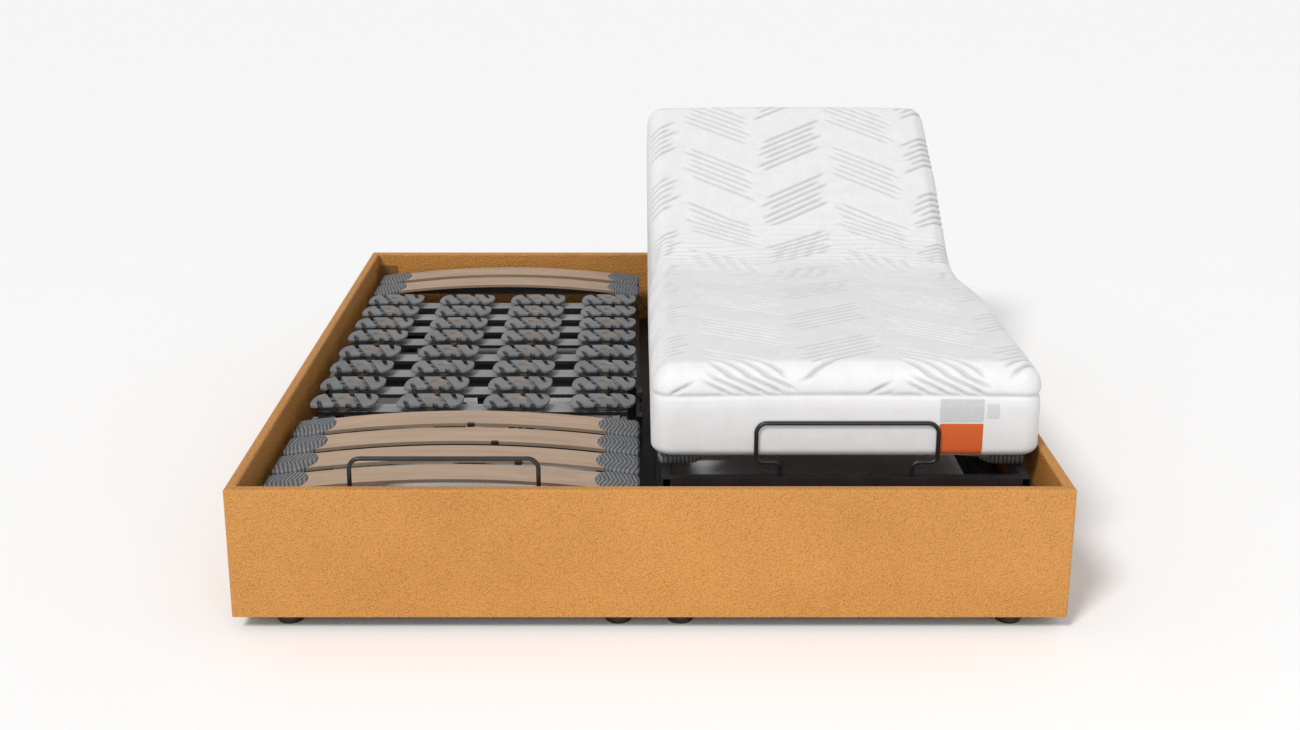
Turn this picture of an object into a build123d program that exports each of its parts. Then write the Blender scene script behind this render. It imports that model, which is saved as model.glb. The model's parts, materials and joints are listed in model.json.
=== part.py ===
"""Double adjustable bed base: an upholstered surround with two electric slatted units inside it.

Millimetres. The origin is on the floor at the centre of the bed, +X is to the right, +Y points to the
head end and +Z is up. The left unit lies flat. The right unit is raised a little and carries a mattress.
Distances along the bed are measured from the outer face of the foot panel.
"""
import os
from math import cos, pi, radians, sin, tan

from build123d import *

os.makedirs("parts", exist_ok=True)

# Surround
BED_WIDTH = 1860
BED_LENGTH = 2060
PANEL_HEIGHT = 305
PANEL_THICKNESS = 25
COVER_THICKNESS = 3.5
PANEL_EDGE_RADIUS = 6
EDGE_RADIUS_TO_WALL = 2.5
EDGE_RADIUS_TO_PANEL = 0.45
FOOT_HEIGHT = 35
FOOT_DIAMETER = 68
FOOT_TAPER = 5
FOOT_FROM_END = 65
FOOT_OUTER_FROM_SIDE = 118
FOOT_INNER_FROM_MIDDLE = 70
FOOT_SCREW_DIAMETER = 10
FOOT_SCREW_GRIP = 22
CROSS_RAIL_HEIGHT = 35
CROSS_RAIL_WIDTH = 90
BEAM_HEIGHT = 40
BEAM_WIDTH = 130
LEDGER_WIDTH = 62
BRACKET_LEG = 60
BRACKET_THICKNESS = 4
BRACKET_HEIGHT = 140
BRACKET_BELOW_TOP = 40

# Clearances
FIT_CLEARANCE = 0.05
WELD_GAP = 0.2
SLIDE_GAP = 0.3
SOFT_GAP = 0.3
SIDE_GAP = 5

# Tube and rail sections of one unit
BASE_TUBE = 40
TUBE_WALL = 2
BASE_SIDE_GAP = 20.5
BASE_END_GAP = 35
RAIL_HEIGHT = 40
RAIL_WIDTH = 20
RAIL_BOTTOM = 225
OUTER_RAIL_SIDE_GAP = 30
RAIL_GAP = 2.5
CROSS_TUBE_WIDTH = 30
END_RAIL_WIDTH = 26
END_RAIL_GAP = 3
HEAD_GAP = 60
HUB_REACH = 20

# Hinges
HINGE_DROP = 17
TORQUE_TUBE_DIAMETER = 24
TORQUE_TUBE_WALL = 4
PIN_DIAMETER = 16
LINK_DROP = 60
LINK_RAIL_GAP = 24
LINK_THICKNESS = 12
LINK_HEIGHT = 26
LINK_BRACKET_THICKNESS = 10
LINK_BRACKET_WIDTH = 40

# Rows of slats and spring elements, from the foot panel
CALF_SLAT_FIRST = 175
CALF_SLAT_PITCH = 119
CALF_SLAT_COUNT = 4
THIGH_ROWS = (694, 830)
SEAT_ROWS = (972, 1110)
BACK_ROW_PITCH = 126
BACK_SLAT_PITCH = 125
BACK_SLAT_COUNT = 2
BACK_SLAT_FROM_END = 52
KNEE_FROM_ROW = 32
THIGH_HINGE_GAP = 21
BACK_HINGE_GAP = 45
BACK_FIRST_GAP = 5
SLAT_FROM_ROW = 65

# Spring elements and their crossbars
CROSSBAR_WIDTH = 60
CROSSBAR_HEIGHT = 10
ELEMENT_WIDTH = 170
ELEMENT_LENGTH = 96
ELEMENT_THICKNESS = 12
ELEMENT_CORNER = 30
ELEMENT_SIDE_GAP = 31.5
ELEMENT_COLUMNS = 4
ELEMENT_STEM_HEIGHT = 13
ELEMENT_STEM_DIAMETER = 40
SLIT_WIDTH = 7
SLIT_ANGLE = 118
LONG_SLIT = 84
SHORT_SLIT = 38
SLIT_STEP = 29
SHORT_SLIT_SHIFT = 20

# Slats and their rubber caps
SLAT_WIDTH = 90
SLAT_THICKNESS = 8
SLAT_SIDE_GAP = 27.5
FREE_CROWN = 32
LOADED_CROWN = 21
CAP_LENGTH = 104
CAP_WALL = 6
CAP_TOP_WALL = 4
CAP_NOSE = 38
CAP_CORNER = 9

# Mattress retainer bar
BAR_DIAMETER = 10
BAR_WIDTH = 416
BAR_JOG = 57
BAR_TOP = 395
BAR_JOG_HEIGHT = 300
BAR_SOCKET_DEPTH = 28
BAR_TOP_BEND = 24
BAR_JOG_BEND = 16

# Drives, levers and rams
LEVER_LENGTH = 130
LEVER_THICKNESS = 12
LEVER_HUB_RADIUS = 20
LEVER_NOSE_RADIUS = 12
DRIVE_X = 100
DRIVE_LENGTH = 290
DRIVE_WIDTH = 70
DRIVE_HEIGHT = 60
HANGER_WIDTH = 30
RAM_DIAMETER = 24
RAM_DROP = 5
RAM_SHOWING = 10
RAM_BORE = 12
RAM_PAD_THICKNESS = 10
RAM_PAD_SIZE = 30
RAM_KEPT_IN = 40
RAM_CONTACT_GAP = 3.5
RAM_CLEARANCE = 0.1
SPINDLE_DIAMETER = 10
MOTOR_DIAMETER = 56
MOTOR_LENGTH = 110

# Glide
SHOE_LENGTH = 40
SHOE_LIP = 18
SHOE_LIP_THICKNESS = 7
SHOE_TOP = 12
LEG_FROM_HINGE = 50

# Motion: the back and thigh limits, and the pose of the raised unit
BACK_LIFT_MAX = 60
THIGH_LIFT_MAX = 35
BACK_REST = 28
THIGH_REST = 5
GLIDE_AT_BACK_REST = 150

# Mattress
MATTRESS_HEAD_OVERHANG = 46
MATTRESS_BAR_GAP = 2
MATTRESS_THICKNESS = 222
MATTRESS_CROWN = 8
MATTRESS_SIDE_DRAW = 4
MATTRESS_TOP_RADIUS = 40
MATTRESS_BOTTOM_RADIUS = 10
MATTRESS_END_RADIUS = 9
MATTRESS_BEND_REACH = 172

# Heights and widths that follow
PANEL_TOP = FOOT_HEIGHT + PANEL_HEIGHT
HALF_WIDTH = BED_WIDTH / 2
HALF_LENGTH = BED_LENGTH / 2
INNER_HALF_WIDTH = HALF_WIDTH - PANEL_THICKNESS
INNER_HALF_LENGTH = HALF_LENGTH - PANEL_THICKNESS
UNIT_X = INNER_HALF_WIDTH / 2
BASE_HALF_WIDTH = UNIT_X - BASE_SIDE_GAP
OUTER_RAIL_X = UNIT_X - OUTER_RAIL_SIDE_GAP - RAIL_WIDTH
INNER_RAIL_X = OUTER_RAIL_X - RAIL_GAP - RAIL_WIDTH
LINK_X = INNER_RAIL_X - LINK_RAIL_GAP - LINK_THICKNESS
SLAT_HALF_LENGTH = UNIT_X - SLAT_SIDE_GAP
ELEMENT_PITCH = (2 * (UNIT_X - ELEMENT_SIDE_GAP) - ELEMENT_WIDTH) / (ELEMENT_COLUMNS - 1)
CROSS_RAIL_TOP = FOOT_HEIGHT + CROSS_RAIL_HEIGHT
BEAM_TOP = CROSS_RAIL_TOP + BEAM_HEIGHT
BASE_TOP = BEAM_TOP + BASE_TUBE
RAIL_TOP = RAIL_BOTTOM + RAIL_HEIGHT
HINGE_Z = RAIL_TOP - HINGE_DROP
LINK_Z = HINGE_Z - LINK_DROP
CROSSBAR_TOP = RAIL_TOP + CROSSBAR_HEIGHT
ELEMENT_BOTTOM = CROSSBAR_TOP + ELEMENT_STEM_HEIGHT
SUPPORT_TOP = ELEMENT_BOTTOM + ELEMENT_THICKNESS
MATTRESS_BOTTOM = SUPPORT_TOP + SOFT_GAP
MATTRESS_HALF_WIDTH = UNIT_X - SIDE_GAP


def along(distance):
    """Turn a distance from the foot panel's outer face into a Y coordinate."""
    return distance - HALF_LENGTH


# Places along the bed that follow
HALF_ELEMENT = ELEMENT_LENGTH / 2
KNEE_Y = along(THIGH_ROWS[0] - HALF_ELEMENT - KNEE_FROM_ROW)
THIGH_HINGE_Y = along(SEAT_ROWS[0] - HALF_ELEMENT - THIGH_HINGE_GAP)
BACK_HINGE_Y = along(SEAT_ROWS[-1] + HALF_ELEMENT + BACK_HINGE_GAP)
BACK_FIRST_Y = BACK_HINGE_Y + BACK_FIRST_GAP + HALF_ELEMENT
THIGH_ROW_YS = [along(row) for row in THIGH_ROWS]
SEAT_ROW_YS = [along(row) for row in SEAT_ROWS]
CAP_WIDTH = SLAT_WIDTH + 2 * CAP_WALL
BACK_END_Y = INNER_HALF_LENGTH - HEAD_GAP
BACK_SLAT_LAST_Y = BACK_END_Y - BACK_SLAT_FROM_END
BACK_SLAT_YS = [BACK_SLAT_LAST_Y - BACK_SLAT_PITCH * row for row in range(BACK_SLAT_COUNT)][::-1]
BACK_LAST_Y = BACK_SLAT_YS[0] - CAP_WIDTH / 2 - SLAT_FROM_ROW - HALF_ELEMENT
BACK_GAPS = max(1, round((BACK_LAST_Y - BACK_FIRST_Y) // BACK_ROW_PITCH))
BACK_ROW_STEP = (BACK_LAST_Y - BACK_FIRST_Y) / BACK_GAPS
BACK_ROW_YS = [BACK_FIRST_Y + BACK_ROW_STEP * row for row in range(BACK_GAPS + 1)]
CALF_SLAT_YS = [along(CALF_SLAT_FIRST + CALF_SLAT_PITCH * row) for row in range(CALF_SLAT_COUNT)]
CALF_END_Y = -INNER_HALF_LENGTH + BRACKET_THICKNESS + END_RAIL_GAP
BAR_Y = CALF_END_Y + END_RAIL_WIDTH / 2

# Motion that follows: travel for each radian of lift, and the ram strokes
GLIDE_RATE = GLIDE_AT_BACK_REST / radians(BACK_REST)
BACK_STROKE = 2 * LEVER_LENGTH * sin(radians(BACK_LIFT_MAX / 2))
LEG_STROKE = 2 * LEVER_LENGTH * sin(radians(THIGH_LIFT_MAX / 2))
BACK_RAM_RATE = BACK_STROKE / radians(BACK_LIFT_MAX)
LEG_RAM_RATE = LEG_STROKE / radians(THIGH_LIFT_MAX)


def block(x_span, y_span, z_span, mode=Mode.ADD):
    """Add or cut a box between two corners in the part that is being built."""
    spans = (x_span, y_span, z_span)
    with Locations(tuple((low + high) / 2 for low, high in spans)):
        Box(*(high - low for low, high in spans), mode=mode)


def shrunk(span, wall):
    """Give a span that is smaller by one wall at each end."""
    return span[0] + wall, span[1] - wall


def tube_along_y(x_span, y_span, z_span):
    """Add a rectangular tube with open ends that runs along the bed."""
    block(x_span, y_span, z_span)
    block(shrunk(x_span, TUBE_WALL), y_span, shrunk(z_span, TUBE_WALL), mode=Mode.SUBTRACT)


def tube_along_x(x_span, y_span, z_span):
    """Add a rectangular tube with open ends that runs across the bed."""
    block(x_span, y_span, z_span)
    block(x_span, shrunk(y_span, TUBE_WALL), shrunk(z_span, TUBE_WALL), mode=Mode.SUBTRACT)


def rod_along_x(x_span, y, z, diameter, mode=Mode.ADD):
    """Add or cut a round rod that runs across the bed."""
    with Locations(Location(((x_span[0] + x_span[1]) / 2, y, z), (0, 90, 0))):
        Cylinder(diameter / 2, x_span[1] - x_span[0], mode=mode)


def rod_along_y(x, y_span, z, diameter, mode=Mode.ADD):
    """Add or cut a round rod that runs along the bed."""
    with Locations(Location((x, (y_span[0] + y_span[1]) / 2, z), (90, 0, 0))):
        Cylinder(diameter / 2, y_span[1] - y_span[0], mode=mode)


def both_sides(inner, outer):
    """Give the X spans of a piece at the left and at the right of a unit."""
    return (-outer, -inner), (inner, outer)


# Surround panels: each board has a leather cover that is open underneath
BODY_X = (-HALF_WIDTH, HALF_WIDTH)
FOOT_PANEL_Y = (-HALF_LENGTH, -INNER_HALF_LENGTH)
HEAD_PANEL_Y = (INNER_HALF_LENGTH, HALF_LENGTH)
SIDE_PANEL_Y = (-INNER_HALF_LENGTH, INNER_HALF_LENGTH)
PANEL_Z = (FOOT_HEIGHT, PANEL_TOP)
BOARD_Z = (FOOT_HEIGHT, PANEL_TOP - COVER_THICKNESS)
PANELS = {
    "foot_cover": (BODY_X, FOOT_PANEL_Y),
    "head_cover": (BODY_X, HEAD_PANEL_Y),
    "left_cover": ((-HALF_WIDTH, -INNER_HALF_WIDTH), SIDE_PANEL_Y),
    "right_cover": ((INNER_HALF_WIDTH, HALF_WIDTH), SIDE_PANEL_Y),
}
COVER_EDGE_RADIUS = min(
    PANEL_EDGE_RADIUS,
    EDGE_RADIUS_TO_WALL * COVER_THICKNESS,
    EDGE_RADIUS_TO_PANEL * PANEL_THICKNESS,
)

for panel_name, (panel_x, panel_y) in PANELS.items():
    with BuildPart() as cover:
        block(panel_x, panel_y, PANEL_Z)
        rounded = cover.edges().group_by(Axis.Z)[-1]
        if panel_x == BODY_X:
            rounded = rounded + cover.edges().filter_by(Axis.Z)
        fillet(rounded, COVER_EDGE_RADIUS)
        block(shrunk(panel_x, COVER_THICKNESS), shrunk(panel_y, COVER_THICKNESS), BOARD_Z, Mode.SUBTRACT)
    cover.part.label = panel_name
    export_step(cover.part, f"parts/{panel_name}.step")

with BuildPart() as panel_boards:
    for panel_x, panel_y in PANELS.values():
        block(shrunk(panel_x, COVER_THICKNESS), shrunk(panel_y, COVER_THICKNESS), BOARD_Z)
panel_boards.part.label = "panel_boards"
export_step(panel_boards.part, "parts/panel_boards.step")

# Steel angles that tie the panels together at the four inner corners
BRACKET_Z = (PANEL_TOP - BRACKET_BELOW_TOP - BRACKET_HEIGHT, PANEL_TOP - BRACKET_BELOW_TOP)
with BuildPart() as corner_brackets:
    for side_x in (-1, 1):
        for side_y in (-1, 1):
            corner = (side_x * INNER_HALF_WIDTH, side_y * INNER_HALF_LENGTH)
            leg_x = sorted((corner[0], corner[0] - side_x * BRACKET_LEG))
            leg_y = sorted((corner[1], corner[1] - side_y * BRACKET_LEG))
            thin_x = sorted((corner[0], corner[0] - side_x * BRACKET_THICKNESS))
            thin_y = sorted((corner[1], corner[1] - side_y * BRACKET_THICKNESS))
            block(leg_x, thin_y, BRACKET_Z)
            block(thin_x, leg_y, BRACKET_Z)
corner_brackets.part.label = "corner_brackets"
export_step(corner_brackets.part, "parts/corner_brackets.step")

# Feet, their screws and the rails that they carry
FOOT_XS = [
    side * x
    for x in (HALF_WIDTH - FOOT_OUTER_FROM_SIDE, FOOT_INNER_FROM_MIDDLE)
    for side in (-1, 1)
]
FOOT_YS = [along(FOOT_FROM_END), -along(FOOT_FROM_END)]
FOOT_PLACES = [(x, y) for x in FOOT_XS for y in FOOT_YS]
INNER_X = (-INNER_HALF_WIDTH, INNER_HALF_WIDTH)
CROSS_RAIL_Z = (FOOT_HEIGHT, CROSS_RAIL_TOP)
CROSS_RAIL_YS = (
    (-INNER_HALF_LENGTH, -INNER_HALF_LENGTH + CROSS_RAIL_WIDTH),
    (-CROSS_RAIL_WIDTH / 2, CROSS_RAIL_WIDTH / 2),
    (INNER_HALF_LENGTH - CROSS_RAIL_WIDTH, INNER_HALF_LENGTH),
)

with BuildPart() as feet:
    with BuildSketch(Plane.XY) as foot_bottoms:
        with Locations(*FOOT_PLACES):
            Circle(FOOT_DIAMETER / 2 - FOOT_TAPER)
    extrude(amount=FOOT_HEIGHT, taper=-180 / pi * FOOT_TAPER / FOOT_HEIGHT)
    with BuildSketch(Plane.XY.offset(FOOT_HEIGHT)) as foot_bores:
        with Locations(*FOOT_PLACES):
            Circle(FOOT_SCREW_DIAMETER / 2 + FIT_CLEARANCE)
    extrude(amount=-FOOT_SCREW_GRIP, mode=Mode.SUBTRACT)
feet.part.label = "feet"
export_step(feet.part, "parts/feet.step")

with BuildPart() as foot_screws:
    with BuildSketch(Plane.XY.offset(FOOT_HEIGHT - FOOT_SCREW_GRIP)) as screw_ends:
        with Locations(*FOOT_PLACES):
            Circle(FOOT_SCREW_DIAMETER / 2)
    extrude(amount=2 * FOOT_SCREW_GRIP)
foot_screws.part.label = "foot_screws"
export_step(foot_screws.part, "parts/foot_screws.step")

with BuildPart() as cross_rails:
    for rail_y in CROSS_RAIL_YS:
        block(INNER_X, rail_y, CROSS_RAIL_Z)
    with BuildSketch(Plane.XY.offset(FOOT_HEIGHT)) as rail_bores:
        with Locations(*FOOT_PLACES):
            Circle(FOOT_SCREW_DIAMETER / 2 + FIT_CLEARANCE)
    extrude(amount=FOOT_SCREW_GRIP, mode=Mode.SUBTRACT)
cross_rails.part.label = "cross_rails"
export_step(cross_rails.part, "parts/cross_rails.step")

LEDGER_Z = (CROSS_RAIL_TOP, BEAM_TOP)
with BuildPart() as centre_beam:
    block((-BEAM_WIDTH / 2, BEAM_WIDTH / 2), SIDE_PANEL_Y, LEDGER_Z)
centre_beam.part.label = "centre_beam"
export_step(centre_beam.part, "parts/centre_beam.step")

with BuildPart() as side_ledgers:
    for ledger_x in both_sides(INNER_HALF_WIDTH - LEDGER_WIDTH, INNER_HALF_WIDTH):
        block(ledger_x, SIDE_PANEL_Y, LEDGER_Z)
side_ledgers.part.label = "side_ledgers"
export_step(side_ledgers.part, "parts/side_ledgers.step")

# One adjustable unit, built flat about X = 0. Its parts are placed twice at the end
unit_parts = []


def keep(node, body, builder, sides=("left", "right")):
    """Remember a finished part with the body that it moves with and the sides of the bed that have it."""
    unit_parts.append((node, body, builder.part, sides))


RAIL_Z = (RAIL_BOTTOM, RAIL_TOP)
INNER_RAILS = both_sides(INNER_RAIL_X, INNER_RAIL_X + RAIL_WIDTH)
OUTER_RAILS = both_sides(OUTER_RAIL_X, OUTER_RAIL_X + RAIL_WIDTH)
INNER_RAIL_REACH = INNER_RAIL_X + RAIL_WIDTH
OUTER_RAIL_REACH = OUTER_RAIL_X + RAIL_WIDTH
WHOLE_UNIT_X = (-OUTER_RAIL_REACH, OUTER_RAIL_REACH)
TORQUE_BORE = TORQUE_TUBE_DIAMETER + 2 * FIT_CLEARANCE
PIN_BORE = PIN_DIAMETER + 2 * FIT_CLEARANCE
LINK_BRACKETS = both_sides(OUTER_RAIL_X, OUTER_RAIL_X + LINK_BRACKET_THICKNESS)
LINK_PINS = both_sides(LINK_X, OUTER_RAIL_X + LINK_BRACKET_THICKNESS)
LINK_BRACKET_Z = (LINK_Z - LINK_HEIGHT / 2 - TUBE_WALL, RAIL_BOTTOM - WELD_GAP)


def torque_tube(y):
    """Add a hollow torque tube that turns in the seat rails."""
    rod_along_x(WHOLE_UNIT_X, y, HINGE_Z, TORQUE_TUBE_DIAMETER)
    bore = TORQUE_TUBE_DIAMETER - 2 * TORQUE_TUBE_WALL
    rod_along_x(WHOLE_UNIT_X, y, HINGE_Z, bore, mode=Mode.SUBTRACT)


def lever(x, hub_y, angle):
    """Add a lever that hangs from a torque tube, leaning to the head end by the angle."""
    nose_y = hub_y + LEVER_LENGTH * sin(radians(angle))
    nose_z = HINGE_Z - LEVER_LENGTH * cos(radians(angle))
    with BuildSketch(Plane.YZ.offset(x - LEVER_THICKNESS / 2)) as outline:
        with Locations((hub_y, HINGE_Z)):
            Circle(LEVER_HUB_RADIUS)
        with Locations((nose_y, nose_z)):
            Circle(LEVER_NOSE_RADIUS)
        make_hull()
        with Locations((hub_y, HINGE_Z)):
            Circle(TORQUE_BORE / 2, mode=Mode.SUBTRACT)
    extrude(outline.sketch, amount=LEVER_THICKNESS)


def link_mounts(y):
    """Add the two brackets and pins that hold one end of the calf links."""
    for bracket_x in LINK_BRACKETS:
        half = LINK_BRACKET_WIDTH / 2
        block(bracket_x, (y - half, y + half), LINK_BRACKET_Z)
    rod_along_x(WHOLE_UNIT_X, y, LINK_Z, PIN_BORE, mode=Mode.SUBTRACT)
    for pin_x in LINK_PINS:
        rod_along_x(pin_x, y, LINK_Z, PIN_DIAMETER)


# Base frame: two long tubes and two end tubes on the beam and the ledger
BASE_Y = (-INNER_HALF_LENGTH + BASE_END_GAP, INNER_HALF_LENGTH - BASE_END_GAP)
BASE_Z = (BEAM_TOP, BASE_TOP)
BASE_INNER = BASE_HALF_WIDTH - BASE_TUBE
with BuildPart() as base_frame:
    for tube_x in both_sides(BASE_INNER, BASE_HALF_WIDTH):
        tube_along_y(tube_x, BASE_Y, BASE_Z)
    end_tube_x = shrunk((-BASE_INNER, BASE_INNER), WELD_GAP)
    tube_along_x(end_tube_x, (BASE_Y[0], BASE_Y[0] + BASE_TUBE), BASE_Z)
    tube_along_x(end_tube_x, (BASE_Y[1] - BASE_TUBE, BASE_Y[1]), BASE_Z)
keep("base_frame", "root", base_frame)

# Carriage: seat rails with the hinge bores, cross tubes, legs, hangers for the drives
RAM_Z = HINGE_Z - LEVER_LENGTH - RAM_DROP
DRIVE_Z = (RAM_Z - DRIVE_HEIGHT / 2, RAM_Z + DRIVE_HEIGHT / 2)
SHOE_TOP_Z = BASE_TOP + SLIDE_GAP + SHOE_TOP
LEG_YS = (THIGH_HINGE_Y + LEG_FROM_HINGE, BACK_HINGE_Y - LEG_FROM_HINGE)
HANGERS = ((-DRIVE_X, SEAT_ROW_YS[0]), (DRIVE_X, SEAT_ROW_YS[1]))
with BuildPart() as seat_frame:
    for rail_x in OUTER_RAILS:
        tube_along_y(rail_x, (THIGH_HINGE_Y - HUB_REACH, BACK_HINGE_Y + HUB_REACH), RAIL_Z)
    for hinge_y in (THIGH_HINGE_Y, BACK_HINGE_Y):
        rod_along_x(WHOLE_UNIT_X, hinge_y, HINGE_Z, TORQUE_BORE, mode=Mode.SUBTRACT)
    for row_y in SEAT_ROW_YS:
        half = CROSS_TUBE_WIDTH / 2
        tube_along_x(shrunk((-OUTER_RAIL_X, OUTER_RAIL_X), WELD_GAP), (row_y - half, row_y + half), RAIL_Z)
    for leg_y in LEG_YS:
        for leg_x in OUTER_RAILS:
            leg_z = (SHOE_TOP_Z, RAIL_BOTTOM - WELD_GAP)
            block(leg_x, (leg_y - SHOE_LENGTH / 2, leg_y + SHOE_LENGTH / 2), leg_z)
    for hanger_x, hanger_y in HANGERS:
        half = HANGER_WIDTH / 2
        hanger_z = (DRIVE_Z[1], RAIL_BOTTOM - WELD_GAP)
        block((hanger_x - half, hanger_x + half), (hanger_y - half, hanger_y + half), hanger_z)
    link_mounts(THIGH_HINGE_Y)
keep("seat_frame", "carriage", seat_frame)

with BuildPart() as glide_shoes:
    for leg_y in LEG_YS:
        shoe_y = (leg_y - SHOE_LENGTH / 2, leg_y + SHOE_LENGTH / 2)
        lip = SLIDE_GAP + SHOE_LIP_THICKNESS
        for shoe_x in both_sides(BASE_INNER - lip, BASE_HALF_WIDTH + lip):
            block(shoe_x, shoe_y, (BASE_TOP - SHOE_LIP, SHOE_TOP_Z))
        for tube_x in both_sides(BASE_INNER - SLIDE_GAP, BASE_HALF_WIDTH + SLIDE_GAP):
            block(tube_x, shoe_y, (BASE_TOP - SHOE_LIP, BASE_TOP + SLIDE_GAP), mode=Mode.SUBTRACT)
keep("glide_shoes", "carriage", glide_shoes)

# Back section: rails, head rail, torque tube and lever
with BuildPart() as back_frame:
    for rail_x in INNER_RAILS:
        tube_along_y(rail_x, (BACK_HINGE_Y - HUB_REACH, BACK_END_Y), RAIL_Z)
    rod_along_x(WHOLE_UNIT_X, BACK_HINGE_Y, HINGE_Z, TORQUE_BORE, mode=Mode.SUBTRACT)
    head_rail_y = (BACK_END_Y - CROSS_TUBE_WIDTH, BACK_END_Y)
    tube_along_x(shrunk((-INNER_RAIL_X, INNER_RAIL_X), WELD_GAP), head_rail_y, RAIL_Z)
    torque_tube(BACK_HINGE_Y)
    lever(-DRIVE_X, BACK_HINGE_Y, -BACK_LIFT_MAX / 2)
keep("back_frame", "back", back_frame)

# Thigh section: rails between the seat hinge and the knee, torque tube and lever
with BuildPart() as thigh_frame:
    for rail_x in INNER_RAILS:
        tube_along_y(rail_x, (KNEE_Y - HUB_REACH, THIGH_HINGE_Y + HUB_REACH), RAIL_Z)
    rod_along_x(WHOLE_UNIT_X, THIGH_HINGE_Y, HINGE_Z, TORQUE_BORE, mode=Mode.SUBTRACT)
    rod_along_x(WHOLE_UNIT_X, KNEE_Y, HINGE_Z, PIN_BORE, mode=Mode.SUBTRACT)
    torque_tube(THIGH_HINGE_Y)
    lever(DRIVE_X, THIGH_HINGE_Y, THIGH_LIFT_MAX / 2)
keep("thigh_frame", "thigh", thigh_frame)

# Calf section: rails outside the thigh rails, knee pins, end rail with the sockets of the bar
BAR_LEG_X = BAR_WIDTH / 2 - BAR_JOG
with BuildPart() as calf_frame:
    for rail_x in OUTER_RAILS:
        tube_along_y(rail_x, (CALF_END_Y, KNEE_Y + HUB_REACH), RAIL_Z)
    end_rail_y = (CALF_END_Y, CALF_END_Y + END_RAIL_WIDTH)
    tube_along_x(shrunk((-OUTER_RAIL_X, OUTER_RAIL_X), WELD_GAP), end_rail_y, RAIL_Z)
    with BuildSketch(Plane.XY.offset(RAIL_TOP)) as bar_sockets:
        with Locations((-BAR_LEG_X, BAR_Y), (BAR_LEG_X, BAR_Y)):
            Circle(BAR_DIAMETER / 2 + FIT_CLEARANCE)
    extrude(amount=-BAR_SOCKET_DEPTH, mode=Mode.SUBTRACT)
    rod_along_x(WHOLE_UNIT_X, KNEE_Y, HINGE_Z, PIN_BORE, mode=Mode.SUBTRACT)
    for pin_x in both_sides(INNER_RAIL_X, OUTER_RAIL_REACH):
        rod_along_x(pin_x, KNEE_Y, HINGE_Z, PIN_DIAMETER)
    link_mounts(KNEE_Y)
keep("calf_frame", "calf", calf_frame)

# Calf links: parallel bars that keep the calf section level while the thigh section rises
with BuildPart() as calf_links:
    for link_x in both_sides(LINK_X, LINK_X + LINK_THICKNESS):
        with BuildSketch(Plane.YZ.offset(link_x[0])):
            with Locations((KNEE_Y, LINK_Z), (THIGH_HINGE_Y, LINK_Z)):
                Circle(LINK_HEIGHT / 2)
            make_hull()
            with Locations((KNEE_Y, LINK_Z), (THIGH_HINGE_Y, LINK_Z)):
                Circle(PIN_BORE / 2, mode=Mode.SUBTRACT)
        extrude(amount=LINK_THICKNESS)
keep("calf_links", "calf_links", calf_links)

# Crossbars that carry the spring elements, and the elements with their diagonal slits
ELEMENT_XS = [ELEMENT_PITCH * (column - (ELEMENT_COLUMNS - 1) / 2) for column in range(ELEMENT_COLUMNS)]
SLITS = (
    (-2, -SHORT_SLIT_SHIFT, SHORT_SLIT),
    (-1, 0, LONG_SLIT),
    (0, -SHORT_SLIT_SHIFT, SHORT_SLIT),
    (1, 0, LONG_SLIT),
    (2, SHORT_SLIT_SHIFT, SHORT_SLIT),
)
SECTIONS = {
    "seat": ("carriage", SEAT_ROW_YS, OUTER_RAIL_REACH),
    "back": ("back", BACK_ROW_YS, INNER_RAIL_REACH),
    "thigh": ("thigh", THIGH_ROW_YS, INNER_RAIL_REACH),
}
for section, (section_body, row_ys, bar_reach) in SECTIONS.items():
    with BuildPart() as crossbars:
        for row_y in row_ys:
            half = CROSSBAR_WIDTH / 2
            block((-bar_reach, bar_reach), (row_y - half, row_y + half), (RAIL_TOP, CROSSBAR_TOP))
    keep(f"{section}_crossbars", section_body, crossbars)

    element_places = [(x, y) for y in row_ys for x in ELEMENT_XS]
    with BuildPart() as elements:
        with BuildSketch(Plane.XY.offset(CROSSBAR_TOP)) as stems:
            with Locations(*element_places):
                Circle(ELEMENT_STEM_DIAMETER / 2)
        extrude(amount=ELEMENT_STEM_HEIGHT)
        with BuildSketch(Plane.XY.offset(ELEMENT_BOTTOM)) as plates:
            with Locations(*element_places):
                RectangleRounded(ELEMENT_WIDTH, ELEMENT_LENGTH, ELEMENT_CORNER)
            for step, shift, length in SLITS:
                with Locations(*((x + step * SLIT_STEP, y + shift) for x, y in element_places)):
                    SlotOverall(length, SLIT_WIDTH, rotation=SLIT_ANGLE, mode=Mode.SUBTRACT)
        extrude(amount=ELEMENT_THICKNESS)
    keep(f"{section}_elements", section_body, elements)

# Slats: crowned strips whose ends sit in rubber caps on the rails. A load flattens them a little
SLAT_END_TOP = SUPPORT_TOP - LOADED_CROWN
CAP_OUTER_X = SLAT_HALF_LENGTH + CAP_WALL + FIT_CLEARANCE
CAP_BODY_LENGTH = CAP_LENGTH - CAP_NOSE
CAP_NOSE_X = CAP_OUTER_X - CAP_BODY_LENGTH
SLAT_ROWS = {"back": BACK_SLAT_YS, "calf": CALF_SLAT_YS}
CROWNS = {"left": FREE_CROWN, "right": LOADED_CROWN}


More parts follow.
